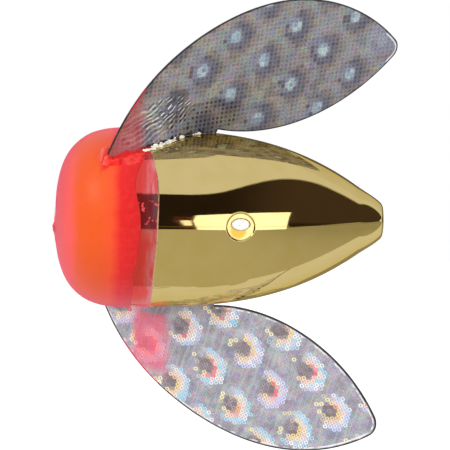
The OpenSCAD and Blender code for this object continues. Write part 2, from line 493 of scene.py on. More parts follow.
@dataclass(frozen=True)
class HeadPaint:
    """Fluorescent paint on the head: orange over the dome and red at its edge, with a painted pink sheen at
    the mouth.
    """

    roots: tuple[WingPlane, ...]
    # the two pinks at the mouth are a painted sheen over the paint's own orange-red
    mouth_sheen_pink: Colour = srgb(246, 100, 92)
    dome_sheen_pink: Colour = srgb(244, 90, 78)
    orange: Colour = srgb(231, 88, 18)
    red_orange: Colour = srgb(240, 82, 36)
    edge_red: Colour = srgb(226, 32, 30)
    deep_red: Colour = srgb(206, 24, 24)
    mottle: Colour = srgb(250, 84, 66)
    drip: Colour = srgb(190, 22, 34)
    drip_ring: Point2 = (1.3, 3.0)
    red_start: float = 6.95
    length: float = 10.0
    pool_width: float = 1.0
    pool_soft: float = 0.25
    pool_start: Point2 = (4.6, 5.4)
    pool_height: Point2 = (4.0, 6.0)

    def pools(self, graph: Graph, place: Socket) -> Socket:
        """Share of the red that has run out round the wings' roots.

        Args:
            graph: the material.
            place: the place on the piece.

        Returns:
            The share's socket.
        """
        shares = []
        for plane in self.roots:
            _, out, through = (graph.along(place, plane.origin, axis) for axis in plane.axes)
            wander = graph.scaled(graph.noise(place, 0.9), 1.4, -0.7)
            gap = graph.plus(graph.math("ABSOLUTE", through), wander)
            near = graph.step(gap, self.pool_width + self.pool_soft, self.pool_width - self.pool_soft)
            shares.append(graph.times(near, graph.step(out, *self.pool_height)))
        start = graph.step(graph.parts(place)[0], *self.pool_start)
        return graph.times(graph.math("MAXIMUM", *shares), start)

    def drips(self, graph: Graph, place: Socket) -> Socket:
        """Share of the darker drips round the mouth.

        Args:
            graph: the material.
            place: the place on the piece.

        Returns:
            The share's socket.
        """
        x, y, z = graph.parts(place)
        return graph.times(
            graph.step(graph.noise(place, 0.9), 0.52, 0.6),
            graph.band(graph.length(y, z), *self.drip_ring, 0.3),
            graph.step(x, 1.2, 0.8),
        )

    def material(self) -> Material:
        """Builds the paint.

        Returns:
            The material.
        """
        graph = Graph("fluorescent_head_paint")
        place = graph.place()
        drift = graph.noise(place, 0.28)
        fine = graph.noise(place, 1.6, 3.0)
        shifted_x = graph.plus(graph.parts(place)[0], graph.scaled(drift, 1.5, -0.75))
        red = self.red_start / self.length
        # the ramp starts with the painted pink sheen at the mouth
        colour = graph.ramp(
            graph.math("DIVIDE", shifted_x, self.length),
            (0.0, self.mouth_sheen_pink),
            (0.16, self.dome_sheen_pink),
            (0.25, self.orange),
            (0.5, self.orange),
            (red - 0.08, self.red_orange),
            (red + 0.03, self.edge_red),
            (1.0, self.deep_red),
        )
        mottled = graph.mix(graph.step(fine, 0.42, 0.8), colour, self.mottle)
        colour = graph.mix(0.2, colour, mottled)
        colour = graph.over(colour, self.drips(graph, place), 0.8, self.drip)
        return graph.finish(
            Base_Color=graph.mix(self.pools(graph, place), colour, self.edge_red),
            Roughness=graph.scaled(fine, 0.14, 0.24),
            Normal=graph.bump(graph.noise(place, 0.9, 3.0), 0.03),
            Specular_IOR_Level=0.2,
            Coat_Weight=0.08,
            Coat_Roughness=0.1,
            Sheen_Weight=0.85,
            Sheen_Roughness=0.5,
            Sheen_Tint=(1.0, 0.16, 0.28, 1.0),
        )


@dataclass(frozen=True)
class Lacquer:
    """Clear red lacquer over the plating, which reads as a red mirror with milky runs and painted highlight
    spots.
    """

    thick: Colour = (0.98, 0.07, 0.06, 1.0)
    thin: Colour = (1.0, 0.38, 0.44, 1.0)
    red: Colour = (1.0, 0.14, 0.15, 1.0)
    # pink of the painted highlight spots
    spot: Colour = srgb(240, 84, 92)
    metal: float = 0.87
    thinning: Point2 = (9.4, 11.6)
    run_stretch: tuple[float, float, float] = (2.4, 0.4, 0.4)
    highlight_heights: Point2 = (-1.2, 2.6)

    def material(self) -> Material:
        """Builds the lacquer.

        Returns:
            The material.
        """
        graph = Graph("red_lacquer")
        place = graph.place()
        x, _, z = graph.parts(place)
        streak = graph.noise(place, 0.5, 3.0)
        share = graph.step(graph.plus(x, graph.scaled(streak, 1.2, -0.6)), *self.thinning)
        runs = graph.step(graph.noise(graph.stretched(place, *self.run_stretch), 1.0, 3.0), 0.38, 0.6)
        # painted highlights: pink, less metallic spots in a band at mid height
        highlight_spots = graph.step(graph.noise(place, 1.5, 1.0), 0.635, 0.715)
        highlight_spots = graph.times(highlight_spots, graph.band(z, *self.highlight_heights, 0.4))
        colour = graph.mix(share, self.thick, graph.mix(runs, self.red, self.thin))
        return graph.finish(
            Base_Color=graph.mix(highlight_spots, colour, self.spot),
            Metallic=graph.scaled(highlight_spots, -0.7, self.metal),
            Roughness=graph.scaled(streak, 0.06, 0.04),
            Normal=graph.bump(graph.noise(place, 0.8), 0.008),
            Coat_Weight=0.2,
            Coat_Roughness=0.04,
        )


@dataclass(frozen=True)
class Glue:
    """Glue at a wing's root: red with head paint in front, clear and pale behind."""

    red: Colour = srgb(248, 44, 36)
    dark_red: Colour = srgb(216, 28, 26)
    front: Colour = srgb(252, 104, 84)
    pale: Colour = srgb(226, 214, 176)
    front_end: Point2 = (6.1, 5.1)
    paint_end: Point2 = (10.05, 10.35)

    def material(self) -> Material:
        """Builds the glue.

        Returns:
            The material.
        """
        graph = Graph("root_glue")
        place = graph.place()
        patch = graph.noise(place, 1.4, 3.0)
        red = graph.mix(graph.step(patch, 0.36, 0.62), self.dark_red, self.red)
        edge = graph.plus(graph.parts(place)[0], graph.scaled(patch, 0.8, -0.4))
        red = graph.over(red, graph.step(edge, *self.front_end), 0.7, self.front)
        return graph.finish(
            Base_Color=graph.mix(graph.step(edge, *self.paint_end), red, self.pale),
            Roughness=graph.scaled(patch, 0.2, 0.08),
            Normal=graph.bump(graph.noise(place, 2.2), 0.04),
            Coat_Weight=0.6,
            Coat_Roughness=0.04,
        )


@dataclass(frozen=True)
class PatchyFinish:
    """Plain finish of two colours in soft patches, such as bare plastic or a cut edge."""

    name: str
    colour: Colour
    patch: Colour
    scale: float
    detail: float = 2.0
    patch_edge: Point2 = (0.5, 0.75)
    roughness: float = 0.3
    rough_patches: float = 0.0
    metal: float = 0.0
    bump: float = 0.0

    def material(self) -> Material:
        """Builds the finish.

        Returns:
            The material.
        """
        graph = Graph(self.name)
        grain = graph.noise(graph.place(), self.scale, self.detail)
        sockets = {"Base_Color": graph.mix(graph.step(grain, *self.patch_edge), self.colour, self.patch)}
        sockets["Roughness"] = self.roughness
        if self.rough_patches:
            sockets["Roughness"] = graph.scaled(grain, self.rough_patches, self.roughness)
        if self.bump:
            sockets["Normal"] = graph.bump(grain, self.bump)
        return graph.finish(Metallic=self.metal, **sockets)


# the lacquer's thin edge, whose pale cream is a painted highlight along it
LACQUER_RIM_HIGHLIGHT = PatchyFinish("lacquer_rim", srgb(246, 226, 160), srgb(214, 120, 84), 2.5, metal=0.15)
FILM_EDGE = PatchyFinish(
    "film_cut_edge", srgb(48, 42, 46), srgb(96, 88, 92), 4.0, patch_edge=(0.5, 0.8), roughness=0.4,
)
CRUMBS = PatchyFinish(
    "glue_crumbs", srgb(252, 250, 238), srgb(232, 214, 160), 2.4,
    patch_edge=(0.52, 0.72), roughness=0.25, rough_patches=0.3,
)
PLUG_PLASTIC = PatchyFinish(
    "plug_plastic", srgb(252, 250, 244), srgb(226, 220, 204), 3.0, 3.0,
    patch_edge=(0.45, 0.75), rough_patches=0.25, bump=0.03,
)
TUBE_PLASTIC = replace(
    PLUG_PLASTIC, name="tube_plastic", colour=srgb(238, 234, 222), patch=srgb(206, 200, 184),
)


class FilmGraph(Graph):
    """Material of a film, which knows where each point lies among the film's big dots and tiny rings.

    A ring's offset and distance are those of its middle from the nearest big dot, so each ring has one
    colour. The soft ones are the point's own.
    """

    def __init__(self, name: str, dot: Point2, dot_steps: Steps, ring_steps: Steps) -> None:
        """Finds where each point is.

        Args:
            name: the material's name.
            dot: middle of one big dot.
            dot_steps: the two steps from a big dot to the next.
            ring_steps: the two steps from a tiny ring to the next.
        """
        super().__init__(name)
        self.u, self.v, _ = self.parts(self.map("film"))
        self.spot = self.join(self.u, self.v)
        self.edge = self.parts(self.map("edge"))[0]
        from_dot = self.minus(self.u, dot[0]), self.minus(self.v, dot[1])
        number, _, self.ring = self.nearest(*from_dot, ring_steps)
        middle = self.from_steps(*number, ring_steps)
        big, self.offset, self.far = self.nearest(*middle, dot_steps)
        _, self.soft_offset, self.soft_far = self.nearest(*from_dot, dot_steps)
        self.chance = self.random(*number, 3.0)
        self.chance_colour = self.random(*number, 3.0, "Color")
        self.dot_chance = self.random(*big, 7.0)
        self.dot_hue = self.random(*big, 11.0)

    def grain(self, scale: float, detail: float = 2.0, output: str = "Fac") -> Socket:
        """Noise at the point's place on the film."""
        return self.noise(self.spot, scale, detail, output)

    def from_steps(self, a: Socket, b: Socket, steps: Steps) -> Pair:
        """Vector of the film that so many of each of two steps make up."""
        (ax, ay), (bx, by) = steps
        return self.scaled(a, ax, self.scaled(b, bx)), self.scaled(a, ay, self.scaled(b, by))

    def nearest(self, u: Socket, v: Socket, steps: Steps) -> tuple[Pair, Pair, Socket]:
        """Nearest place of a lattice.

        Args:
            u, v: a place, from one of the lattice's own places.
            steps: the lattice's two steps.

        Returns:
            The number of that place along both steps, the offset from it, and the distance to it.
        """
        (ax, ay), (bx, by) = steps
        area = ax * by - ay * bx
        first = self.scaled(u, by / area, self.scaled(v, -bx / area))
        second = self.scaled(v, ax / area, self.scaled(u, -ay / area))
        whole = self.math("ROUND", first), self.math("ROUND", second)
        rest = self.minus(first, whole[0]), self.minus(second, whole[1])
        offset = self.from_steps(*rest, steps)
        return whole, offset, self.length(*offset)

    def facing(self, toward: float, soft: bool = False) -> Socket:
        """Which side of its big dot a point is on.

        Args:
            toward: a direction in the film, in degrees.
            soft: whether it is the point's own side rather than its ring's.

        Returns:
            The cosine between the offset from the dot and the direction.
        """
        across, out = self.soft_offset if soft else self.offset
        far = self.soft_far if soft else self.far
        turn = math.radians(toward)
        part = self.scaled(across, math.cos(turn), self.scaled(out, math.sin(turn)))
        return self.math("DIVIDE", part, self.math("MAXIMUM", far, 0.05))

    def near(self, centre: Point2, half: Point2) -> Socket:
        """Share that is 1 about the centre of an oval of those half sizes and 0 outside it."""
        parts = [self.scaled(x, 1 / h, -c / h) for x, c, h in zip((self.u, self.v), centre, half)]
        return self.step(self.plus(*(self.times(part, part) for part in parts)), 1.1, 0.6)

    def ring_shape(self, heart: float) -> Socket:
        """Share that is 1 on the tiny rings, heart in their middles and 0 outside them."""
        middle = self.scaled(self.step(self.ring, 0.09, 0.17), 1 - heart, heart)
        return self.times(self.step(self.ring, 0.32, 0.28), middle)


@dataclass(frozen=True)
class BrightFace:
    """Bright face of the film: dark dots with crescents of coloured rings on pale grey.

    Sides are in degrees in the film's plane, and sizes are distances from a dot's middle.
    """

    lit_side: float = 14.0
    lit_start: Point2 = (0.93, 1.03)
    lit_end: float = 2.3
    heart_size: Point2 = (1.35, 0.75)
    cream_start: Point2 = (1.3, 1.5)
    cool_start: Point2 = (1.8, 2.0)
    stray_sizes: Point2 = (1.15, 1.9)
    glow_side: float = 5.0
    glow_sizes: Point2 = (1.2, 2.4)
    streak_side: float = -75.0
    streak_stretch: Point2 = (2.0, 0.16)
    net: Colour = srgb(98, 92, 106)
    streak: Colour = srgb(196, 204, 202)
    glow: Colour = srgb(232, 226, 246)
    dusk: Tones = (srgb(96, 90, 98), srgb(152, 137, 136))
    dusk_ring: Colour = srgb(176, 166, 176)
    between: Colour = srgb(134, 130, 144)
    yellow: Tones = (srgb(255, 236, 158), srgb(255, 228, 190))
    cream: Tones = (srgb(255, 240, 214), srgb(255, 214, 196))
    stray: Tones = (srgb(255, 242, 120), srgb(255, 246, 196))

    def ground(self, graph: FilmGraph) -> Socket:
        """Colour between the dots: pale grey with faint tints and streaks.

        Args:
            graph: the material.

        Returns:
            The colour's socket.
        """
        ground = graph.ramp(
            graph.grain(0.45, 3.0),
            (0.3, srgb(148, 145, 160)),
            (0.5, srgb(172, 169, 182)),
            (0.7, srgb(194, 189, 198)),
        )
        ground = graph.mix(0.16, ground, graph.grain(1.3, 2.0, "Color"), "OVERLAY")
        ground = graph.mix(0.14, ground, graph.chance_colour, "OVERLAY")
        ground = graph.mix(0.5, ground, graph.grain(4.2, 1.0), "OVERLAY")
        ground = graph.mix(graph.scaled(graph.ring_shape(0.2), -0.28, 0.28), ground, self.net)
        turn = math.radians(self.streak_side)
        over = graph.scaled(graph.u, -math.sin(turn), graph.scaled(graph.v, math.cos(turn)))
        down = graph.scaled(graph.u, math.cos(turn), graph.scaled(graph.v, math.sin(turn)))
        streaks = graph.noise(graph.stretched(graph.join(over, down), *self.streak_stretch), 1.0)
        ground = graph.over(ground, graph.step(streaks, 0.5, 0.62), 0.4, self.streak)
        side = graph.step(graph.facing(self.glow_side, soft=True), -0.5, 0.5)
        glow = graph.times(graph.band(graph.soft_far, *self.glow_sizes, 0.4), side)
        return graph.over(ground, glow, 0.6, self.glow)

    def hearts(self, graph: FilmGraph, colour: Socket) -> Socket:
        """Adds the dots' dark hearts.

        Args:
            graph: the material.
            colour: the colour without them.

        Returns:
            The colour with them.
        """
        torn = graph.scaled(graph.grain(1.6), 0.7, -0.35)
        heart = graph.step(graph.plus(graph.soft_far, torn), *self.heart_size)
        rim = graph.times(graph.ring_shape(0.0), graph.chance)
        dusk = graph.mix(graph.grain(2.2), *self.dusk)
        return graph.over(colour, heart, 0.95, graph.mix(rim, dusk, self.dusk_ring))

    def ring_light(self, graph: FilmGraph, facing: Socket, jitter: Socket) -> Socket:
        """Colour of the lit rings: hot next to the heart, then cream, then cool.

        Args:
            graph: the material.
            facing: which side of its dot a ring is on.
            jitter: a small random number of each ring.

        Returns:
            The colour's socket.
        """
        hot = graph.ramp(
            graph.plus(graph.dot_hue, jitter),
            (0.1, srgb(248, 86, 108)),
            (0.4, srgb(252, 150, 126)),
            (0.75, srgb(255, 224, 136)),
        )
        hot = graph.mix(graph.step(facing, 0.65, 0.1), hot, graph.mix(graph.chance, *self.yellow))
        cool = graph.ramp(
            graph.plus(graph.dot_chance, graph.scaled(graph.chance, 0.8, -0.4)),
            (0.1, srgb(220, 212, 252)),
            (0.4, srgb(200, 220, 255)),
            (0.65, srgb(255, 254, 255)),
            (0.95, srgb(172, 228, 248)),
        )
        wander = graph.plus(graph.far, graph.scaled(graph.chance, 0.4, -0.2))
        cream = graph.mix(graph.chance, *self.cream)
        light = graph.mix(graph.step(wander, *self.cream_start), hot, cream)
        return graph.mix(graph.step(wander, *self.cool_start), light, cool)

    def colour(self, graph: FilmGraph) -> Socket:
        """Colour of the face.

        Args:
            graph: the material.

        Returns:
            The colour's socket.
        """
        colour = self.hearts(graph, self.ground(graph))
        facing = graph.facing(self.lit_side)
        jitter = graph.scaled(graph.chance, 0.5, -0.25)
        end = graph.scaled(facing, 0.45, graph.scaled(jitter, 0.6, self.lit_end))
        lit = graph.times(
            graph.step(graph.plus(facing, jitter), -0.4, -0.1),
            graph.step(graph.far, *self.lit_start),
            graph.step(graph.minus(graph.far, end), 0.15, -0.05),
        )
        shape = graph.ring_shape(0.05)
        colour = graph.over(colour, lit, 0.25, self.between)
        colour = graph.mix(graph.times(lit, shape), colour, self.ring_light(graph, facing, jitter))
        stray = graph.times(
            graph.band(graph.far, *self.stray_sizes, 0.05),
            graph.step(graph.chance, 0.62, 0.7),
            graph.step(facing, -0.3, -0.5),
            shape,
        )
        return graph.over(colour, stray, 0.95, graph.mix(graph.chance, *self.stray))


@dataclass(frozen=True)
class DullFace:
    """Dull face of the film: pale dots with dark halos on a fine grey net.

    Sides are in degrees in the film's plane, and sizes are distances from a dot's middle.
    """

    worn_centre: Point2
    worn_half: Point2 = (2.6, 2.4)
    side: float = -20.0
    rose_size: Point2 = (3.7, 2.6)
    fan_size: Point2 = (2.85, 2.4)
    halo_size: float = 1.55
    halo_shift: float = 0.42
    halo_soft: float = 0.55
    ring_size: Point2 = (1.35, 0.9)
    heart_size: Point2 = (0.88, 0.6)
    core_size: Point2 = (0.85, 0.3)
    dark_side: float = -165.0
    dark_sizes: Point2 = (0.8, 1.6)
    tip_run: Point2 = (6.0, 24.0)
    root_run: Point2 = (19.0, 13.5)
    bent_along: Point2 = (7.5, 5.0)
    bent_out: Point2 = (16.4, 15.2)
    tip_blue: Colour = srgb(126, 133, 152)
    sand: Colour = srgb(164, 142, 116)
    umber: Colour = srgb(84, 74, 74)
    rose: Colour = srgb(124, 110, 108)
    fan: Tones = (srgb(88, 72, 76), srgb(126, 102, 94))
    halo: Tones = (srgb(60, 66, 94), srgb(98, 96, 112))
    lavender: Colour = srgb(128, 132, 160)
    dark: Colour = srgb(60, 52, 78)
    worn: Colour = srgb(148, 150, 172)
    net_light: Colour = srgb(250, 244, 236)
    net_hole: Colour = srgb(52, 48, 58)

    def ground(self, graph: FilmGraph, patches: tuple[Socket, ...]) -> Socket:
        """Colour between the dots: grey, with sand and umber patches.

        Args:
            graph: the material.
            patches: three noises that place the patches.

        Returns:
            The colour's socket.
        """
        colour = graph.ramp(
            graph.grain(0.4, 3.0),
            (0.3, srgb(120, 126, 146)),
            (0.46, srgb(138, 139, 149)),
            (0.6, srgb(152, 144, 134)),
            (0.75, srgb(120, 130, 129)),
        )
        colour = graph.over(colour, graph.step(graph.u, *self.tip_run), 0.45, self.tip_blue)
        colour = graph.mix(0.34, colour, graph.grain(0.8, 2.0, "Color"), "OVERLAY")
        colour = graph.mix(0.15, colour, graph.chance_colour, "OVERLAY")
        root = graph.step(graph.v, *self.root_run)
        sand = graph.times(graph.step(patches[0], 0.52, 0.66), graph.scaled(root, 0.35, 0.2))
        colour = graph.mix(sand, colour, self.sand)
        umber = graph.times(graph.step(patches[1], 0.5, 0.64), graph.scaled(root, 0.4, 0.15))
        return graph.mix(umber, colour, self.umber)

    def halos(self, graph: FilmGraph, blur: Socket, far: Socket, colour: Socket) -> Socket:
        """Adds the dots' rose shade, brown fan and dark halo.

        Args:
            graph: the material.
            blur: softened distance from a dot.
            far: a ring's uneven distance from its dot.
            colour: the colour without them.

        Returns:
            The colour with them.
        """
        facing = graph.facing(self.side)
        soft_facing = graph.facing(self.side, soft=True)
        rose = graph.times(graph.step(far, *self.rose_size), graph.step(soft_facing, -0.2, 0.7))
        colour = graph.over(colour, rose, 0.45, self.rose)
        fan = graph.times(graph.step(far, *self.fan_size), graph.step(facing, -0.3, 0.3))
        colour = graph.over(colour, fan, 0.65, graph.mix(graph.chance, *self.fan))
        side = graph.scaled(graph.step(soft_facing, -0.9, 0.1), 0.83, 0.15)
        reach = graph.scaled(soft_facing, self.halo_shift, self.halo_size)
        halo = graph.times(graph.step(blur, graph.plus(reach, self.halo_soft), reach), side)
        return graph.mix(halo, colour, graph.mix(graph.chance, *self.halo))

    def hearts(self, graph: FilmGraph, blur: Socket, colour: Socket) -> Socket:
        """Adds the dots' lavender ring, dark cells and pale heart, faint where the film is bent or worn.

        Args:
            graph: the material.
            blur: softened distance from a dot.
            colour: the colour without them.

        Returns:
            The colour with them.
        """
        bent = graph.times(graph.step(graph.u, *self.bent_along), graph.step(graph.v, *self.bent_out))
        worn = graph.times(graph.near(self.worn_centre, self.worn_half), 0.6)
        faded = graph.math("MAXIMUM", bent, worn)
        ring = graph.step(graph.plus(blur, graph.scaled(graph.facing(self.side), 0.12)), *self.ring_size)
        colour = graph.mix(graph.times(ring, graph.scaled(faded, -0.6, 0.7)), colour, self.lavender)
        dark = graph.times(
            graph.band(graph.far, *self.dark_sizes, 0.06),
            graph.step(graph.chance, 0.4, 0.5),
            graph.step(graph.facing(self.dark_side), 0.5, 0.85),
        )
        colour = graph.over(colour, dark, 0.8, self.dark)
        pale = graph.ramp(
            graph.chance,
            (0.0, srgb(126, 138, 172)),
            (0.3, srgb(146, 170, 188)),
            (0.6, srgb(160, 188, 194)),
            (1.0, srgb(196, 214, 210)),
        )
        core = graph.times(graph.step(graph.soft_far, *self.core_size), 0.45)
        near = graph.plus(blur, graph.scaled(graph.facing(self.side, soft=True), -0.16))
        heart = graph.math("MAXIMUM", graph.step(near, *self.heart_size), core)
        colour = graph.mix(graph.times(heart, graph.scaled(faded, -0.95, 1.0)), colour, pale)
        return graph.mix(worn, colour, self.worn)

    def colour(self, graph: FilmGraph) -> Socket:
        """Colour of the face.

        Args:
            graph: the material.

        Returns:
            The colour's socket.
        """
        patches = graph.parts(graph.grain(0.62, 3.0, "Color"))
        far = graph.plus(graph.far, graph.scaled(graph.chance, 0.5, -0.25))
        blur = graph.times(graph.plus(far, graph.soft_far), 0.5)
        colour = self.halos(graph, blur, far, self.ground(graph, patches))
        colour = self.hearts(graph, blur, colour)
        colour = graph.mix(0.4, colour, graph.grain(3.4, 1.0, "Color"), "OVERLAY")
        colour = graph.mix(0.9, colour, graph.grain(5.5, 1.0), "OVERLAY")
        mesh = graph.step(graph.ring, 0.0, 0.3)
        colour = graph.over(colour, mesh, 0.2, graph.mix(0.6, colour, self.net_light))
        deep = graph.scaled(graph.step(patches[1], 0.4, 0.6), 0.24, 0.1)
        deep = graph.times(deep, graph.scaled(graph.step(graph.u, -4.5, -1.5), 0.8, 0.2))
        holes = graph.times(deep, graph.scaled(mesh, -1.0, 1.0))
        return graph.mix(holes, colour, graph.mix(0.35, self.net_hole, colour))


@dataclass(frozen=True)
class Film:
    """Holographic film of one wing: its two faces, what the bend, wear and dip have left, and its painted
    light.

    Places are in the film's own plane: along the slot and out from the body's axis.
    """

    wing: Wing
    dot: Point2
    dot_steps: Steps
    ring_steps: Steps
    tint: Colour
    tint_share: float
    tint_end: Point2
    worn_centre: Point2
    red_edge: float
    red_above: float
    tint_start: Point2 = (-99.0, -98.0)
    tint_low: Point2 = (0.0, 1.0)
    tint_high: Point2 = (99.0, 98.0)
    back_tint: float = 0.6
    crease_centre: Point2 = NOWHERE
    crease_half: Point2 = (3.9, 2.2)
    crease_pitch: float = 10.5
    # where the painted shade of the hollow behind the creases lies
    hollow_shade_centre: Point2 = NOWHERE
    hollow_shade_half: Point2 = (1.5, 1.0)
    speck_centre: Point2 = NOWHERE
    shade_half: Point2 = (6.0, 2.6)
    speck_half: Point2 = (5.6, 2.4)
    root_radius: float = 10.2
    root_shadow_span: Point2 = (-4.0, 5.0)
    dull_border: float = 1.35
    bright_border: float = 1.7
    sparkle_depth: Point2 = (0.2, 0.44)
    sparkle_half: Point2 = (5.0, 2.8)
    glint_depth: Point2 = (0.2, 0.38)
    glint_half: Point2 = (1.5, 2.4)
    # painted shade of the hollow, then painted shade and highlights of the creases
    hollow_shade: Colour = srgb(66, 68, 70)
    crease_shade: Colour = srgb(58, 52, 56)
    crease_highlight: Colour = srgb(252, 248, 246)
    shade: Colour = srgb(62, 54, 50)
    speck: Colour = srgb(38, 32, 38)
    # painted shadow in the gap where the film meets the body
    root_gap_shadow: Colour = srgb(30, 25, 30)
    # painted highlights: the sparkle along the bright face's edge and the glint at the dull face's tip
    sparkle: Colour = srgb(250, 248, 250)
    glint: Colour = srgb(250, 246, 250)
    edge_black: Colour = srgb(44, 38, 44)
    edge_red: Colour = srgb(206, 20, 32)

    @property
    def front(self) -> Face:
        """The face that is turned to the port side."""
        return Face.DULL if self.wing is Wing.UPPER else Face.BRIGHT

    def creased(self, graph: FilmGraph, colour: Socket) -> Socket:
        """Adds the painted shade and highlights of the creases that the bend at the root has left, and the
        painted shade of the hollow behind them.

        Args:
            graph: the material.
            colour: the colour without them.

        Returns:
            The colour with them.
        """
        bend = graph.scaled(graph.grain(0.28), 2.2)
        along = graph.minus(graph.u, self.crease_centre[0])
        arch = graph.times(along, graph.scaled(along, -0.045, -0.6))
        over = graph.plus(graph.plus(graph.v, arch), bend)
        wave = graph.math("SINE", graph.times(over, self.crease_pitch))
        broken = graph.step(graph.grain(1.2), 0.42, 0.56)
        inside = graph.times(broken, graph.near(self.crease_centre, self.crease_half))
        front = self.crease_centre[0] - 3.4, self.crease_centre[1] - 1.0
        inside = graph.math("MAXIMUM", inside, graph.times(graph.near(front, (3.0, 2.6)), 0.3))
        # painted shade of the hollow behind the creases
        hollow_shade = graph.near(self.hollow_shade_centre, self.hollow_shade_half)
        colour = graph.over(colour, hollow_shade, 0.45, self.hollow_shade)
        # painted shade in the creases' folds and painted highlights on their ridges
        dark = graph.times(graph.step(wave, -0.3, -0.9), inside)
        colour = graph.over(colour, dark, 0.85, self.crease_shade)
        light = graph.times(graph.step(wave, 0.55, 0.95), inside)
        return graph.over(colour, light, 0.92, self.crease_highlight)

    def specked(self, graph: FilmGraph, colour: Socket) -> Socket:
        """Adds a painted shade patch and the dark specks beside the creases, and a painted shadow in the gap
        along the root.

        Args:
            graph: the material.
            colour: the colour without them.

        Returns:
            The colour with them.
        """
        colour = graph.over(colour, graph.near(self.speck_centre, self.shade_half), 0.32, self.shade)
        specks = graph.times(
            graph.step(graph.ring, 0.26, 0.1),
            graph.step(graph.chance, 0.1, 0.6),
            graph.near(self.speck_centre, self.speck_half),
        )
        colour = graph.over(colour, specks, 0.85, self.speck)
        # painted shadow in the gap where the film meets the body
        squares = graph.scaled(graph.times(graph.u, graph.u), -0.25, self.root_radius**2)
        height = graph.minus(graph.v, graph.math("SQRT", squares))
        ragged = graph.scaled(graph.grain(1.3, 3.0), 1.6, -0.5)
        gap = graph.step(graph.minus(height, ragged), 0.12, -0.06)
        gap = graph.times(gap, graph.band(graph.u, *self.root_shadow_span, 0.5))
        return graph.mix(gap, colour, self.root_gap_shadow)

    def tinted(self, graph: FilmGraph, colour: Socket, weight: float) -> Socket:
        """Adds the colour that the head's dip has left on the film.

        Args:
            graph: the material.
            colour: the colour without it.
            weight: how much of the full tint this face has.

        Returns:
            The colour with it.
        """
        wander = graph.scaled(graph.grain(0.6, 3.0), 1.6, -0.8)
        u = graph.plus(graph.u, wander)
        v = graph.plus(graph.v, wander)
        share = graph.times(
            graph.step(v, *self.tint_low),
            graph.step(v, *self.tint_high),
            graph.step(u, *self.tint_start),
            graph.step(u, *self.tint_end),
        )
        return graph.over(colour, share, self.tint_share * weight, self.tint)

    def bordered(self, graph: FilmGraph, colour: Socket, wide: float) -> Socket:
        """Adds the uneven dark line along the film's edge, which is red near the head.

        Args:
            graph: the material.
            colour: the colour without it.
            wide: how wide the line is on this face.

        Returns:
            The colour with it.
        """
        patchy = graph.grain(1.1)
        inner = graph.scaled(patchy, 0.2 * wide, 0.1)
        outer = graph.scaled(patchy, 0.1 * wide, 0.02)
        red = graph.step(graph.plus(graph.u, patchy), self.red_edge + 0.2, self.red_edge - 0.2)
        red = graph.times(red, graph.step(graph.v, self.red_above - 0.4, self.red_above + 0.4))
        line = graph.mix(red, self.edge_black, self.edge_red)
        return graph.mix(graph.step(graph.edge, inner, outer), colour, line)

    def bright(self, graph: FilmGraph) -> Socket:
        """Colour of the bright face with the painted sparkle of highlights along its edge.

        Args:
            graph: the material.

        Returns:
            The colour's socket.
        """
        # painted highlights along the edge, in patches and near the tip
        patchy = graph.step(graph.grain(1.1), 0.45, 0.6)
        lit_patches = graph.math("MAXIMUM", patchy, graph.near(self.worn_centre, self.sparkle_half))
        sparkle = graph.times(graph.band(graph.edge, *self.sparkle_depth, 0.05), lit_patches)
        return graph.over(BrightFace().colour(graph), sparkle, 0.85, self.sparkle)

    def dull(self, graph: FilmGraph) -> Socket:
        """Colour of the dull face with its painted crease shade and highlights, its specks, the painted
        shadow along its root and the painted glint at its tip.

        Args:
            graph: the material.

        Returns:
            The colour's socket.
        """
        colour = self.creased(graph, DullFace(self.worn_centre).colour(graph))
        colour = self.specked(graph, colour)
        tip = self.worn_centre[0] + 1.2, self.worn_centre[1] - 1.2
        # painted highlight: a white glint just inside the edge at the tip
        glint = graph.band(graph.edge, *self.glint_depth, 0.06)
        glint = graph.times(glint, graph.near(tip, self.glint_half))
        return graph.over(colour, glint, 0.9, self.glint)

    def material(self, face: Face) -> Material:
        """Builds the film's finish on one of its faces.

        Args:
            face: which of its two faces.

        Returns:
            The material.
        """
        name = f"{self.wing.name.lower()}_film_{face.value}"
        graph = FilmGraph(name, self.dot, self.dot_steps, self.ring_steps)
        is_dull = face is Face.DULL
        colour = self.dull(graph) if is_dull else self.bright(graph)
        colour = self.tinted(graph, colour, 1.0 if self.front is face else self.back_tint)
        border = self.dull_border if is_dull else self.bright_border
        return graph.finish(
            Base_Color=self.bordered(graph, colour, border),
            Roughness=graph.scaled(graph.chance, 0.12, 0.32),
            Normal=graph.bump(graph.grain(0.35), 0.2),
            Specular_IOR_Level=0.4,
        )


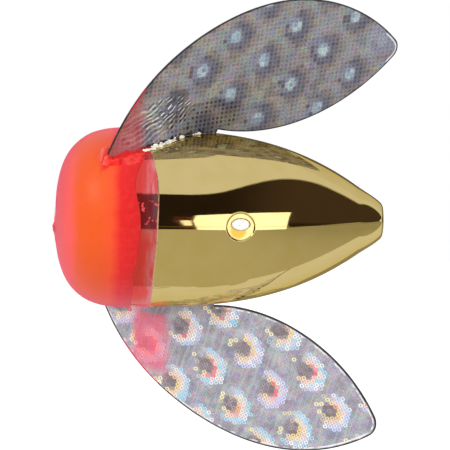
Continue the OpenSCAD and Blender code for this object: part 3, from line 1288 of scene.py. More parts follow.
@dataclass
class Body:
    """Plated body: two half shells, the moulding port's plug and the line tube."""

    length: float = 38.0
    radius: float = 10.27
    shoulder_x: float = 8.7
    nose_length: float = 8.53
    nose_power: float = 2.8
    taper_length: float = 31.1
    taper_power: float = 2.95
    wall: float = 1.1
    parting: float = 5.6
    tube_hole: float = 1.42
    boss_radius: float = 2.3
    boss_front: float = 5.0
    boss_back: float = 31.9
    cavity_end: float = 33.0
    tail_flare: float = 0.25
    flare_run: Point2 = (35.0, 37.6)
    tail_slope_at: Point2 = (37.4, 37.5)
    tail_round: float = 0.9
    seam_depth: float = 0.035
    seam_turn: float = 0.12
    fine_turn: float = 14.0
    port_x: float = 20.9
    port_radius: float = 1.69
    port_depth: float = 0.24
    port_soft: float = 0.16
    port_margin: float = 0.25
    plug_wide: float = 1.13
    plug_high: float = 0.72
    plug_rise: float = 0.28
    plug_pit: float = 0.3
    plug_pit_soft: float = 0.06
    plug_sunk: float = 0.2
    plug_depth: float = 0.5
    plug_dome: float = 0.12
    plug_offset: Point2 = (-0.045, -0.05)
    plug_top_gap: Point2 = (0.08, 0.07)
    plug_foot_gap: Point2 = (0.07, 0.06)
    plug_lump: float = 0.03
    plug_lump_size: float = 0.35

    @property
    def port_r(self) -> float:
        """Radius of the body at the port."""
        return float(self.taper_r(np.array(self.port_x)))

    def taper_r(self, x: np.ndarray) -> np.ndarray:
        """Radius of the taper at a distance from the head, a little flared at the tail."""
        run_out = (np.maximum(x - self.shoulder_x, 0) / self.taper_length) ** self.taper_power
        return self.radius * (1 - run_out) + self.tail_flare * smooth(*self.flare_run, x)

    def nose_start(self, radius: float) -> float:
        """Angle on the domed head at which it has a radius."""
        return math.asin((radius / self.radius) ** (self.nose_power / 2))

    def nose_line(self, angles: np.ndarray, grow: float = 0.0) -> np.ndarray:
        """Points [x, radius] of the domed head.

        Args:
            angles: 0 at its front and a quarter turn at the shoulder.
            grow: how far it is grown.

        Returns:
            One row for each angle.
        """
        power = 2 / self.nose_power
        x = self.shoulder_x - (self.nose_length + grow) * np.cos(angles).clip(0) ** power
        return np.stack([x, (self.radius + grow) * np.sin(angles) ** power], 1)

    def radius_at(self, x: np.ndarray) -> np.ndarray:
        """Radius of the body at any distance from the head.

        Args:
            x: the distances.

        Returns:
            One radius for each of them.
        """
        share = np.clip((self.shoulder_x - x) / self.nose_length, 0, 1)
        dome = self.radius * (1 - share**self.nose_power) ** (1 / self.nose_power)
        return np.where(x < self.shoulder_x, dome, self.taper_r(x))

    def outer_line(self) -> np.ndarray:
        """Outline of the shells from the mouth to the tail, close together round the port.

        Returns:
            Rows of x and radius.
        """
        nose = self.nose_line(np.linspace(self.nose_start(self.tube_hole), math.pi / 2, 70))
        reach = self.port_radius + self.port_margin
        front, back = self.port_x - reach, self.port_x + reach
        before, after = self.tail_slope_at
        tilt = math.atan((self.taper_r(before) - self.taper_r(after)) / (after - before))
        end = self.length - self.tail_round * (1 - math.sin(tilt))
        x = np.concatenate([
            np.linspace(self.shoulder_x, front, 50)[1:],
            np.linspace(front, back, 90)[1:],
            np.linspace(back, end, 70)[1:],
        ])
        taper = np.stack([x, self.taper_r(x)], 1)
        turns = np.linspace(math.pi / 2 - tilt, 0, 10)
        arc = self.tail_round * np.stack([np.cos(turns), np.sin(turns)], 1)
        corner = taper[-1] + (arc - arc[0])[1:]
        flat = [[self.length, self.tube_hole]]
        return np.concatenate([nose, taper, corner, flat])

    def inner_line(self) -> np.ndarray:
        """Outline of the space inside, from the tail back to the mouth.

        Returns:
            Rows of x and radius.
        """
        x = np.linspace(self.cavity_end, self.shoulder_x, 24)
        taper = np.stack([x, self.taper_r(x) - self.wall], 1)
        start = self.nose_start(self.boss_radius)
        nose = self.nose_line(np.linspace(math.pi / 2, start, 24)[1:], -self.wall)
        back = [
            [self.boss_back, self.tube_hole],
            [self.boss_back, self.boss_radius],
            [self.cavity_end, self.boss_radius],
        ]
        front = [
            [nose[-1][0], self.boss_radius],
            [self.boss_front, self.boss_radius],
            [self.boss_front, self.tube_hole],
        ]
        return np.concatenate([back, taper, nose[:-1], front])

    def port_sink(self, along: np.ndarray, up: float) -> np.ndarray:
        """Depth of the port's funnel.

        Args:
            along: distances from its centre along the body.
            up: distance from its centre round the body.

        Returns:
            How far the surface sinks there.
        """
        reach = np.hypot(along, up)
        inner = np.hypot(along / self.plug_wide, (up - self.plug_rise) / self.plug_high)
        face = max(self.port_depth - up**2 / (2 * self.radius), 0.0)
        flat = face * smooth(self.port_radius, self.port_radius - self.port_soft, reach)
        return flat + self.plug_pit * smooth(1.0, 1.0 - self.plug_pit_soft, inner)

    def half(self, name: str, start: float) -> Piece:
        """Builds one half shell.

        Args:
            name: the piece's name.
            start: turn in degrees at which it starts, from -Y towards +Z.

        Returns:
            The closed shell.
        """
        outer = self.outer_line()
        section = np.concatenate([outer, self.inner_line()])
        fine = np.linspace(0, self.fine_turn, 60)
        coarse = np.linspace(self.fine_turn, 180 - self.fine_turn, 60)
        seams = [0, self.seam_turn, 180 - self.seam_turn, 180]
        turns = np.unique(np.round(np.concatenate([fine, coarse, 180 - fine, seams]), 6))
        points = []
        for turn in turns:
            from_port = (start + turn + self.parting + 180) % 360 - 180
            sink = self.port_sink(section[:, 0] - self.port_x, math.radians(from_port) * self.port_r)
            sink[len(outer):] = 0
            if turn in (turns[0], turns[-1]):
                sink[:len(outer) - 1] += self.seam_depth
            line = np.stack([section[:, 0], section[:, 1] - sink], 1)
            points.append(swing(line, math.radians(start + turn)))
        count = len(section)
        faces = grid_faces(len(turns), count, wrap=True)
        faces.append(tuple(range(count)))
        faces.append(tuple(range(len(turns) * count - 1, (len(turns) - 1) * count - 1, -1)))
        return add_mesh(name, np.concatenate(points), faces)

    def plug_ring(self, gap: Point2, share: float, height: float, turns: int) -> list[tuple[float, ...]]:
        """One oval row of the plug's points.

        Args:
            gap: how far it stays inside the pit along and across.
            share: its size as a share.
            height: its distance from the body's axis.
            turns: how many points it has.

        Returns:
            The points along the body, round it and out from its axis.
        """
        wide, high = (self.plug_wide - gap[0]) * share, (self.plug_high - gap[1]) * share
        along, up = self.plug_offset[0], self.plug_rise + self.plug_offset[1]
        angles = np.linspace(0, 2 * math.pi, turns, endpoint=False)
        return [(along + wide * math.cos(a), up + high * math.sin(a), height) for a in angles]

    def plug(self) -> Piece:
        """Builds the port's plug, an oval disc with a domed and slightly torn top.

        Returns:
            The plug.
        """
        rings, turns = 14, 56
        top = self.port_r - self.plug_sunk
        rows = []
        for share in np.arange(1, rings + 1) / rings:
            rows += self.plug_ring(self.plug_top_gap, share, top - self.plug_dome * share**6, turns)
        rows += self.plug_ring(self.plug_foot_gap, 1.0, top - self.plug_depth, turns)
        rows += self.plug_ring(self.plug_top_gap, 0.0, top, 1)
        local = np.array(rows)
        local[:, 2] += self.plug_lump * lumps(local, self.plug_lump_size)
        tilt = math.radians(-self.parting)
        axes = np.array([
            [1, 0, 0],
            [0, math.sin(tilt), math.cos(tilt)],
            [0, -math.cos(tilt), math.sin(tilt)],
        ])
        points = np.array([self.port_x, 0, 0]) + local @ axes
        faces = turned(grid_faces(rings + 1, turns, wrap=True))
        faces.append(tuple(range((rings + 1) * turns - 1, rings * turns - 1, -1)))
        faces += fan_faces(0, turns, len(points) - 1)
        return add_mesh("port_plug_disc", points, faces)

    def build(self) -> None:
        """Builds and dresses the shells, the plug and the tube."""
        gold = Plating(parting=self.parting).material()
        for node, start in (("upper_shell", 0), ("lower_shell", 180)):
            shell = self.half(f"{node}_plated", start - self.parting)
            dress(shell, gold)
            settle(shell, "plated_shell", node)
        plug = self.plug()
        dress(plug, PLUG_PLASTIC.material())
        settle(plug, "natural_plastic", "port_plug")
        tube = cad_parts["line_tube"]
        dress(tube, TUBE_PLASTIC.material())
        LOG.info("line_tube: CAD solid with natural plastic")


@dataclass
class HeadCoats:
    """Paint and lacquer over the head."""

    body: Body
    dip_edge: float = 9.3
    dip_thickness: float = 0.17
    dip_round: float = 0.35
    dip_wave: float = 0.08
    dip_lump: float = 0.02
    dip_lump_size: float = 2.5
    full: float = 0.25
    full_turn: float = -6.0
    full_spread: float = 15.0
    back_below: float = 0.38
    below_start: Point2 = (8.0, 26.0)
    below_end: Point2 = (54.0, 46.0)
    back_above: float = 0.5
    above_start: Point2 = (-16.0, -36.0)
    fillet: float = 1.4
    fillet_spread: float = 34.0
    mouth: float = 1.45
    rim_run: Point2 = (2.6, 0.2)
    rim_even: float = 0.55
    rim_low: float = 0.45
    rim_height: float = 0.1
    rim_lump: float = 0.14
    rim_lump_size: float = 1.1
    drip_turn: float = -0.8
    drip_height: float = 0.24
    drip_spread: float = 0.4
    drip_run: float = 1.3
    lacquer_start: float = 8.6
    lacquer_edge: float = 11.55
    lacquer_thickness: float = 0.09
    lacquer_wave: float = 0.1
    lacquer_low: float = 0.45
    lacquer_pulls: tuple[Point2, ...] = ((0.8, 36.0), (0.6, 12.0))
    lacquer_round: float = 0.16
    lacquer_rim: float = 0.03
    lacquer_rim_run: float = 0.3
    bead_turn: float = 54.0
    sink: float = 0.06
    turns: int = 240
    rim_rows: tuple[int, int] = (29, 31)

    def azimuths(self) -> np.ndarray:
        """Turns round the body, from -Y towards +Z."""
        return np.linspace(0, 2 * math.pi, self.turns, endpoint=False)

    def edge_wave(self, turn: float, seed: float) -> float:
        """Uneven edge of a coat at a turn, from about -1 to 1."""
        return noise.noise(Vector((2.2 * math.cos(turn), 2.2 * math.sin(turn), seed)))

    def skin(self, name: str, lines: list[np.ndarray], heights: list[np.ndarray]) -> Piece:
        """Builds a closed coat.

        Args:
            name: the piece's name.
            lines: for each turn, points [x, radius] on the body.
            heights: for each turn, how far the coat stands over each point.

        Returns:
            The coat.
        """
        points = []
        for turn, line, height in zip(self.azimuths(), lines, heights):
            slope = np.gradient(line, axis=0)
            normal = np.stack([-slope[:, 1], slope[:, 0]], 1)
            normal /= np.linalg.norm(normal, axis=1)[:, None]
            outer = line + normal * height[:, None]
            inner = line - normal * self.sink
            points.append(swing(np.concatenate([outer, inner[::-1]]), turn))
        count = len(points[0])
        quads = grid_faces(self.turns + 1, count, wrap=True)
        faces = [tuple(corner % (self.turns * count) for corner in quad) for quad in quads]
        return add_mesh(name, np.concatenate(points), faces, 60.0)

    def away(self, turn: float, middle: float) -> float:
        """Degrees from the nearer of a middle turn and the one opposite to it."""
        return (math.degrees(turn) - middle + 90) % 180 - 90

    def near_bead(self, turn: float, spread: float) -> float:
        """Share from 0 to 1 of how near a turn is to the nearer glue bead, over a spread in degrees."""
        return float(smooth(spread, 0.0, abs(self.away(turn, self.bead_turn))))

    def paint_end(self, turn: float) -> float:
        """Edge of the opaque paint: drawn back beside the glue beads and full between them.

        Args:
            turn: the turn round the body.

        Returns:
            Where along the body it ends.
        """
        away = self.away(turn, self.full_turn)
        full = self.full * math.exp(-((away / self.full_spread) ** 2))
        back = self.back_below * smooth(*self.below_start, away) * smooth(*self.below_end, away)
        back += self.back_above * smooth(*self.above_start, away)
        fillet = self.fillet * self.near_bead(turn, self.fillet_spread)
        return self.dip_edge + self.dip_wave * self.edge_wave(turn, 1.0) + full - back + fillet

    def mouth_rim(self, turn: float, gap: np.ndarray, places: np.ndarray) -> np.ndarray:
        """Height of the lumpy rim and of the drip round the mouth.

        Args:
            turn: the turn round the body.
            gap: distances from the mouth.
            places: the points of the body there.

        Returns:
            One height for each point.
        """
        lumpy = self.rim_height + self.rim_lump * lumps(places, self.rim_lump_size)
        low_side = self.rim_even - self.rim_low * math.sin(turn)
        from_drip = (turn - self.drip_turn + math.pi) % (2 * math.pi) - math.pi
        drip = self.drip_height * math.exp(-((from_drip / self.drip_spread) ** 2))
        return smooth(*self.rim_run, gap) * lumpy * low_side + drip * smooth(self.drip_run, 0.0, gap)

    def paint(self) -> Piece:
        """Builds the opaque paint, with a lumpy rim round the mouth and a rounded, wavy edge.

        Returns:
            The coat.
        """
        nose = self.body.nose_line(np.linspace(self.body.nose_start(self.mouth), math.pi / 2, 64))
        lines, heights = [], []
        for turn in self.azimuths():
            x = np.linspace(self.body.shoulder_x, self.paint_end(turn), 14)[1:]
            line = np.concatenate([nose, np.stack([x, self.body.taper_r(x)], 1)])
            gap = np.concatenate([[0], np.cumsum(np.linalg.norm(np.diff(line, axis=0), axis=1))])
            left = np.clip((gap[-1] - gap) / self.dip_round, 0, 1)
            places = swing(line, turn)
            height = self.dip_thickness * np.sqrt(left) * (2 - left)
            height += self.mouth_rim(turn, gap, places)
            height += self.dip_lump * lumps(places, self.dip_lump_size)
            lines.append(line)
            heights.append(np.clip(height, 0.0, None))
        return self.skin("head_paint_coat", lines, heights)

    def lacquer_end(self, turn: float) -> float:
        """Edge of the lacquer, drawn back where it meets the glue beads.

        Args:
            turn: the turn round the body.

        Returns:
            Where along the body it ends.
        """
        below = math.sin(turn) * math.copysign(1.0, math.cos(turn))
        low = self.lacquer_low * smooth(0.1, -0.95, below)
        drawn = sum(pull * self.near_bead(turn, spread) for pull, spread in self.lacquer_pulls)
        return self.lacquer_edge + self.lacquer_wave * self.edge_wave(turn, 4.0) - low - drawn

    def lacquer(self) -> Piece:
        """Builds the clear lacquer, with a fine raised rim along its edge.

        Returns:
            The coat.
        """
        lines, heights = [], []
        for turn in self.azimuths():
            end = self.lacquer_end(turn)
            rim = end - self.lacquer_rim_run
            x = np.concatenate([np.linspace(self.lacquer_start, rim, 24), np.linspace(rim, end, 9)[1:]])
            left = end - x
            height = self.lacquer_thickness * np.sqrt(np.clip(left / self.lacquer_round, 0, 1))
            bulge = smooth(self.lacquer_rim_run, self.lacquer_round, left) * smooth(0.0, 0.1, left)
            lines.append(np.stack([x, self.body.radius_at(x)], 1))
            heights.append(height + self.lacquer_rim * bulge)
        return self.skin("red_lacquer_coat", lines, heights)

    def build(self) -> None:
        """Builds and dresses the coats."""
        paint = self.paint()
        dress(paint, HeadPaint(roots=tuple(WingPlane(wing) for wing in Wing)).material())
        settle(paint, "head_paint", "head_dip")
        lacquer = self.lacquer()
        # the second slot, on the rim rows, is the lacquer edge's painted highlight
        dress(lacquer, Lacquer().material(), LACQUER_RIM_HIGHLIGHT.material())
        count = len(lacquer.data.polygons) // self.turns
        first, last = self.rim_rows
        for polygon in lacquer.data.polygons:
            if first <= polygon.index % count <= last:
                polygon.material_index = 1
        settle(lacquer, "red_lacquer", "lacquer_band")


@dataclass(frozen=True)
class Bead:
    """Glue on one side of a film: how high it stands, and how wide it has run at places along the slot."""

    side: int
    ridge: float
    swell: float
    pool: tuple[Point2, ...]


BEADS = (
    Bead(-1, 0.8, 0.34, (
        (-8.9, 0.4), (-8.0, 0.9), (-7.0, 2.0), (-6.0, 2.6), (-5.0, 2.6), (-4.1, 1.5), (-3.4, 0.4),
    )),
    Bead(1, 1.5, 0.5, ((-8.9, 0.9), (-8.3, 1.7), (-7.2, 2.0), (-5.5, 1.7), (-3.4, 0.4))),
)


@dataclass
class WingLeaf:
    """One wing: its film, the glue at its root and the crumbs along its slot."""

    wing: Wing
    body: Body
    finish: Film
    lead_centre: Point2
    lead_radius: float
    trail_centre: Point2
    trail_radius: float
    tip_radius: float
    seed: int
    thickness: float = 0.15
    root_depth: float = 8.6
    root_start: float = -9.3
    root_end: float = 7.0
    root_cut: float = 0.7
    flex_height: float = 11.0
    flex_tilt: float = 5.0
    flex_run: Point2 = (-0.1, 2.6)
    lean: float = -0.7
    lean_front: Point2 = (-6.5, -3.5)
    lean_back: Point2 = (4.0, -1.5)
    lean_height: Point2 = (13.0, 10.4)
    sway: float = 0.16
    sway_waves: tuple[Point2, Point2] = ((0.21, 0.6), (0.17, 0.4))
    rings: int = 46
    ring_power: float = 1.7
    paint_end: float = -3.4
    bead_sunk: float = 0.3
    bead_edge: float = 0.04
    bead_width: float = 0.16
    bead_ridge: float = 0.08
    bead_inset: Point2 = (0.4, 0.3)
    bead_fade: Point2 = (0.7, 1.5)
    bead_front: Point2 = (-6.8, -8.0)
    bead_wave_size: float = 1.3
    bead_lump: float = 0.28
    bead_lump_size: float = 0.8
    crumb_count: int = 84
    crumb_size: Point2 = (0.06, 0.26)
    crumb_gap: Point2 = (0.1, 0.55)
    thin_from: float = 2.5
    thin_crumbs: float = 0.7
    plane: WingPlane = field(init=False)

    def __post_init__(self) -> None:
        """Finds the wing's plane."""
        self.plane = WingPlane(self.wing)

    @property
    def prefix(self) -> str:
        """Start of this wing's piece names."""
        return self.wing.name.lower()

    def place(self, u: np.ndarray, v: np.ndarray, w: np.ndarray) -> np.ndarray:
        """Points in the row frame from places along the slot, out from the axis and through the film."""
        return self.plane.origin + np.stack([u, v, w], -1) @ self.plane.axes

    def tip(self, inset: float) -> np.ndarray:
        """Where the two edges would cross if each were drawn in.

        Args:
            inset: how far they are drawn in.

        Returns:
            The place on the film.
        """
        lead, trail = np.array(self.lead_centre), np.array(self.trail_centre)
        first, second = self.lead_radius - inset, self.trail_radius - inset
        gap = trail - lead
        distance = float(np.linalg.norm(gap))
        unit = gap / distance
        reach = (first**2 - second**2 + distance**2) / (2 * distance)
        rise = math.sqrt(first**2 - reach**2)
        return lead + reach * unit + rise * np.array([unit[1], -unit[0]])

    def outline(self) -> np.ndarray:
        """Outline of the film: leading edge, rounded tip, trailing edge and root, run clockwise.

        Returns:
            Rows of places on the film.
        """
        lead, trail = np.array(self.lead_centre), np.array(self.trail_centre)
        tip = self.tip(self.tip_radius)

        def bearing(centre: np.ndarray, point: np.ndarray) -> float:
            """Angle of a point about a centre."""
            return math.atan2(point[1] - centre[1], point[0] - centre[0])

        def arc(centre: np.ndarray, radius: float, start: float, end: float, steps: int) -> np.ndarray:
            """Points on an arc between two angles."""
            angles = np.linspace(start, end, steps)
            return centre + radius * np.stack([np.cos(angles), np.sin(angles)], 1)

        foot_rise = self.root_depth - lead[1]
        foot = lead + [-math.sqrt(self.lead_radius**2 - foot_rise**2), foot_rise]
        corner_drop = trail[1] - math.sqrt(self.trail_radius**2 - (self.root_end - trail[0]) ** 2)
        corner = np.array([self.root_end, corner_drop])
        leading = arc(lead, self.lead_radius, bearing(lead, foot), bearing(lead, tip), 230)
        rounded = arc(tip, self.tip_radius, bearing(lead, tip), bearing(trail, tip), 40)
        trailing = arc(trail, self.trail_radius, bearing(trail, tip), bearing(trail, corner), 170)
        sill = np.linspace([self.root_end - self.root_cut, self.root_depth], foot, 60)[:-1]
        return np.concatenate([leading, rounded[1:], trailing[1:], sill])

    def hem(self, u: np.ndarray) -> np.ndarray:
        """How far the film leans out of its plane where it meets the body."""
        return self.lean * smooth(*self.lean_front, u) * smooth(*self.lean_back, u)

    def film_waves(self, u: np.ndarray, v: np.ndarray) -> np.ndarray:
        """Slight warp of the film out of its plane.

        Args:
            u, v: places on the film.

        Returns:
            How far it is out of its plane there.
        """
        free = smooth(self.flex_height - 1, self.flex_height + 8, v)
        (along, along_start), (out, out_start) = self.sway_waves
        wave = np.sin(along * u + along_start) * np.sin(out * v + out_start)
        return free * self.sway * wave + smooth(*self.lean_height, v) * self.hem(u)

    def edge_gap(self, places: np.ndarray, rim: np.ndarray) -> np.ndarray:
        """Distance of each place on the film from its edge.

        Args:
            places: rows of places.
            rim: the closed outline.

        Returns:
            One distance for each row.
        """
        gap = np.full(len(places), np.inf)
        for a, d in zip(rim, np.roll(rim, -1, axis=0) - rim):
            t = np.clip(((places - a) @ d) / (d @ d), 0, 1)
            gap = np.minimum(gap, np.linalg.norm(places - a - t[:, None] * d, axis=1))
        return gap

    def film(self) -> Piece:
        """Builds the film as one thin closed leaf.

        Returns:
            The leaf, with maps of the place on the film and of the distance from its edge.
        """
        rim = self.outline()
        count = len(rim)
        middle = np.array([self.root_end + 4.0, 0.5 * (self.root_depth + rim[:, 1].max())])
        shares = 1 - np.linspace(0, 1, self.rings) ** self.ring_power
        flat = np.concatenate([middle + s * (rim - middle) for s in shares[:-1]] + [middle[None, :]])
        total = len(flat)
        u, v = flat.T
        warp = self.film_waves(u, v)
        layers = [self.place(u, v, warp + side * self.thickness / 2) for side in (-1, 1)]
        sheet = grid_faces(self.rings - 1, count, wrap=True)
        sheet += fan_faces((self.rings - 2) * count, count, total - 1)
        walls = [((j + 1) % count, total + (j + 1) % count, total + j, j) for j in range(count)]
        faces = turned(sheet) + shifted(sheet, total) + walls
        piece = add_mesh(f"{self.prefix}_wing_film", np.concatenate(layers), faces, 50.0)
        mesh = piece.data
        for polygon in mesh.polygons:
            polygon.material_index = polygon.index // len(sheet)
        corners = np.zeros(len(mesh.loops), int)
        mesh.loops.foreach_get("vertex_index", corners)
        from_edge = np.stack([self.edge_gap(flat, rim), np.zeros(total)], 1)
        for name, values in (("film", flat), ("edge", from_edge)):
            layer = mesh.uv_layers.new(name=name)
            layer.uv.foreach_set("vector", values[corners % total].astype(np.float32).ravel())
        return piece

    def on_body(self, u: np.ndarray, w: np.ndarray, height: np.ndarray) -> np.ndarray:
        """Points over the body's surface.

        Args:
            u: places along the slot.
            w: distances from the film's middle plane.
            height: heights over the surface.

        Returns:
            The points in the row frame.
        """
        v = np.full_like(u, self.body.radius)
        for _ in range(12):
            points = self.place(u, v, w)
            radial = np.hypot(points[..., 1], points[..., 2])
            v = v + (self.body.radius_at(points[..., 0]) + height - radial)
        return self.place(u, v, w)

    def bead_shape(self, bead: Bead, steps: int, across: int) -> tuple[np.ndarray, ...]:
        """Shape of the glue on one side of the film.

        Args:
            bead: the glue.
            steps, across: how many points it has along and across.

        Returns:
            Grids of the place along the slot, the distance from the film's plane, and the height.
        """
        start, end = self.root_start + self.bead_inset[0], self.root_end - self.bead_inset[1]
        u = np.linspace(start, end, steps)
        ends = smooth(start, start + self.bead_fade[0], u) * smooth(end, end - self.bead_fade[1], u)
        painted = smooth(self.paint_end + 0.5, self.paint_end - 0.5, u)
        spine = np.stack([u, np.full_like(u, 9.0 * bead.side), np.zeros_like(u)], 1)
        wave = lumps(spine, self.bead_wave_size)
        ridge = (self.bead_ridge + bead.ridge * smooth(*self.bead_front, u)) * ends
        swell = bead.swell * painted * (1 + 0.4 * wave) * ends
        pool = np.interp(u, *np.array(bead.pool).T) * painted
        wide = (self.bead_width + pool) * (1 + 0.2 * np.roll(wave, 9)) * np.clip(ends, 0.25, 1)
        share = np.linspace(0, 1, across)
        grid_u = np.repeat(u[:, None], across, 1)
        grid_w = self.hem(u)[:, None] + bead.side * (self.bead_edge + np.outer(wide, share))
        places = np.stack([grid_u.ravel(), grid_w.ravel() * 1.3, np.full(grid_u.size, 3.3)], 1)
        fine = lumps(places, self.bead_lump_size)
        lift = np.outer(ridge, (1 - share) ** 2) + np.outer(swell, np.sin(math.pi * share**0.8) ** 2)
        lift += self.bead_lump * np.outer(painted * ends, 1 - share**2) * fine.reshape(lift.shape)
        return grid_u, grid_w, lift - self.bead_edge

    def bead(self, bead: Bead) -> tuple[np.ndarray, Faces]:
        """Closed mesh of the glue on one side of the film.

        Args:
            bead: the glue.

        Returns:
            Its points and faces.
        """
        steps, across = 170, 20
        u, w, lift = self.bead_shape(bead, steps, across)
        layers = [self.on_body(u, w, height) for height in (lift, np.full_like(lift, -self.bead_sunk))]
        total = steps * across
        upper = grid_faces(steps, across)
        ring = [i * across for i in range(steps)]
        ring += [(steps - 1) * across + j for j in range(1, across)]
        ring += [i * across + across - 1 for i in range(steps - 2, -1, -1)]
        ring += list(range(across - 2, 0, -1))
        walls = [(a, b, total + b, total + a) for a, b in zip(ring, ring[1:] + ring[:1])]
        faces = upper + turned(shifted(upper, total)) + walls
        points = np.concatenate([layer.reshape(-1, 3) for layer in layers])
        return points, faces if bead.side < 0 else turned(faces)

    def glue(self) -> Piece:
        """Builds the glue on both sides of the film as one piece.

        Returns:
            The glue.
        """
        points, faces = [], []
        for bead in BEADS:
            made, quads = self.bead(bead)
            faces += shifted(quads, sum(len(p) for p in points))
            points.append(made)
        return add_mesh(f"{self.prefix}_glue_bead", np.concatenate(points), faces, 60.0)

    def crumbs(self) -> Piece:
        """Builds the white crumbs along the slot behind the painted glue.

        Returns:
            The crumbs as one piece.
        """
        draw = random.Random(self.seed)
        points, faces = [], []
        rows, turns = 5, 8
        each = (rows - 1) * turns + 2
        while len(points) < self.crumb_count * each:
            u = draw.uniform(self.paint_end - 0.3, self.root_end - 1.6)
            if noise.noise(Vector((1.1 * u, self.seed, 0.5))) < draw.uniform(-0.35, 0.25):
                continue
            w = float(self.hem(np.array(u))) + draw.choice((-1, -1, 1)) * draw.uniform(*self.crumb_gap)
            size = draw.uniform(*self.crumb_size) * (1.0 if u < self.thin_from else self.thin_crumbs)
            centre = self.on_body(np.array(u), np.array(w), np.array(0.35 * size + draw.uniform(0, 0.12)))
            stretch = np.array([draw.uniform(0.7, 1.6), draw.uniform(0.6, 1.3), draw.uniform(0.5, 1.1)])
            start = len(points)
            for row in range(1, rows):
                tilt = math.pi * row / rows
                for turn in range(turns):
                    angle = 2 * math.pi * turn / turns
                    offset = np.array([
                        math.sin(tilt) * math.cos(angle), math.sin(tilt) * math.sin(angle), math.cos(tilt)
                    ])
                    points.append(centre + size * draw.uniform(0.8, 1.2) * stretch * offset)
            pole = size * stretch * np.array([0, 0, 1])
            points += [centre + pole, centre - pole]
            last = start + (rows - 2) * turns
            faces += turned(grid_faces(rows - 1, turns, start, wrap=True))
            faces += fan_faces(start, turns, start + each - 2)
            faces += turned(fan_faces(last, turns, start + each - 1))
        return add_mesh(f"{self.prefix}_glue_crumbs", np.array(points), faces, 60.0)

    def flex_point(self, run: float) -> tuple[float, ...]:
        """Point of the film's plane, in metres, that far beyond a slanted line across it at flex_height."""
        slope = math.radians(self.flex_tilt)
        return tuple(self.place(run * math.sin(slope), self.flex_height + run * math.cos(slope), 0.0) * MM)

    def build(self) -> None:
        """Builds and dresses the film, the glue and the crumbs."""
        film = self.film()
        faces = (self.finish.material(face) for face in Face)
        dress(film, *faces, FILM_EDGE.material())
        start, end = (self.flex_point(run) for run in self.flex_run)
        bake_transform(film)
        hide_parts(f"{self.prefix}_wing_root", f"{self.prefix}_wing_blade")
        LOG.info("%s: %d faces", film.name, len(film.data.polygons))
        glue = self.glue()
        dress(glue, Glue().material())
        settle(glue, "glue", f"{self.prefix}_root_glue")
        crumbs = self.crumbs()
        dress(crumbs, CRUMBS.material())
        settle(crumbs, "glue")


@dataclass(frozen=True)
class Card:
    """Card or cloth of the set, which the plating mirrors.

    Its edges are given in degrees: side turns from the port side towards +X, and low and high turn about
    the body's axis from the port side up. Where it would pass under the floor it lies on it.
    """

    name: str
    side: Point2
    low: Point2
    high: Point2
    light: Point2
    colour: Colour = GREY
    distance: float = 600.0
    lift: float = 0.3
    slant: Point2 = (0.0, 0.0)
    crest: float = 0.0
    crest_up: Point2 = (8.0, 46.0)
    crest_down: Point2 = (46.0, 54.0)
    crest_rise: float = 0.03
    span: Point2 = (0.0, 420.0)

    def build(self) -> None:
        """Builds the card as a patch of a sphere that gives off its light to mirrors only."""
        columns, rows = 60, 130
        share = np.linspace(0, 1, columns)
        up = np.linspace(0, 1, rows)[:, None]
        start = self.side[0] + self.slant[0] * up
        end = self.side[1] + self.slant[1] * up
        side = start + (end - start) * share
        crest = smooth(*self.crest_up, side) + self.crest_rise * smooth(*self.crest_down, side)
        low = self.low[0] + (self.low[1] - self.low[0]) * share
        high = self.high[0] + (self.high[1] - self.high[0]) * share + self.crest * crest
        turn = np.radians(side)
        rise = np.radians(low + (high - low) * up)
        toward = np.stack([np.sin(turn), -np.cos(turn) * np.cos(rise), np.cos(turn) * np.sin(rise)], -1)
        to_floor = (-FLOOR_Z - self.lift) / np.maximum(-toward[..., 2], 1e-6)
        reach = np.minimum(self.distance, to_floor)
        points = np.array(AIM) + toward * reach[..., None]
        card = add_mesh(self.name, points.reshape(-1, 3), grid_faces(rows, columns))
        shine(card, self.light, self.colour, self.span)


def shine(card: Piece, light: Point2, colour: Colour, span: Point2) -> None:
    """Makes a card of the set give off a light that only mirrors and glass see.

    Args:
        card: the card.
        light: its strength at the head's side and at the tail's side.
        colour: its colour.
        span: where along X the first strength ends and the second begins.
    """
    graph = Graph(card.name)
    share = graph.step(graph.parts(graph.place())[0], *span)
    strength = graph.scaled(share, light[1] - light[0], light[0])
    graph.end(graph.add("ShaderNodeEmission", {"Color": colour, "Strength": strength}))
    dress(card, graph.owner)
    card.visible_camera = False
    card.visible_diffuse = False
    card.visible_shadow = False


def flat_sheet(name: str, low: Point2, high: Point2, z: float) -> Piece:
    """Makes a flat sheet between two opposite corners at a height."""
    corners = [[low[0], low[1], z], [high[0], low[1], z], [high[0], high[1], z], [low[0], high[1], z]]
    return add_mesh(name, np.array(corners), [(0, 1, 2, 3)])


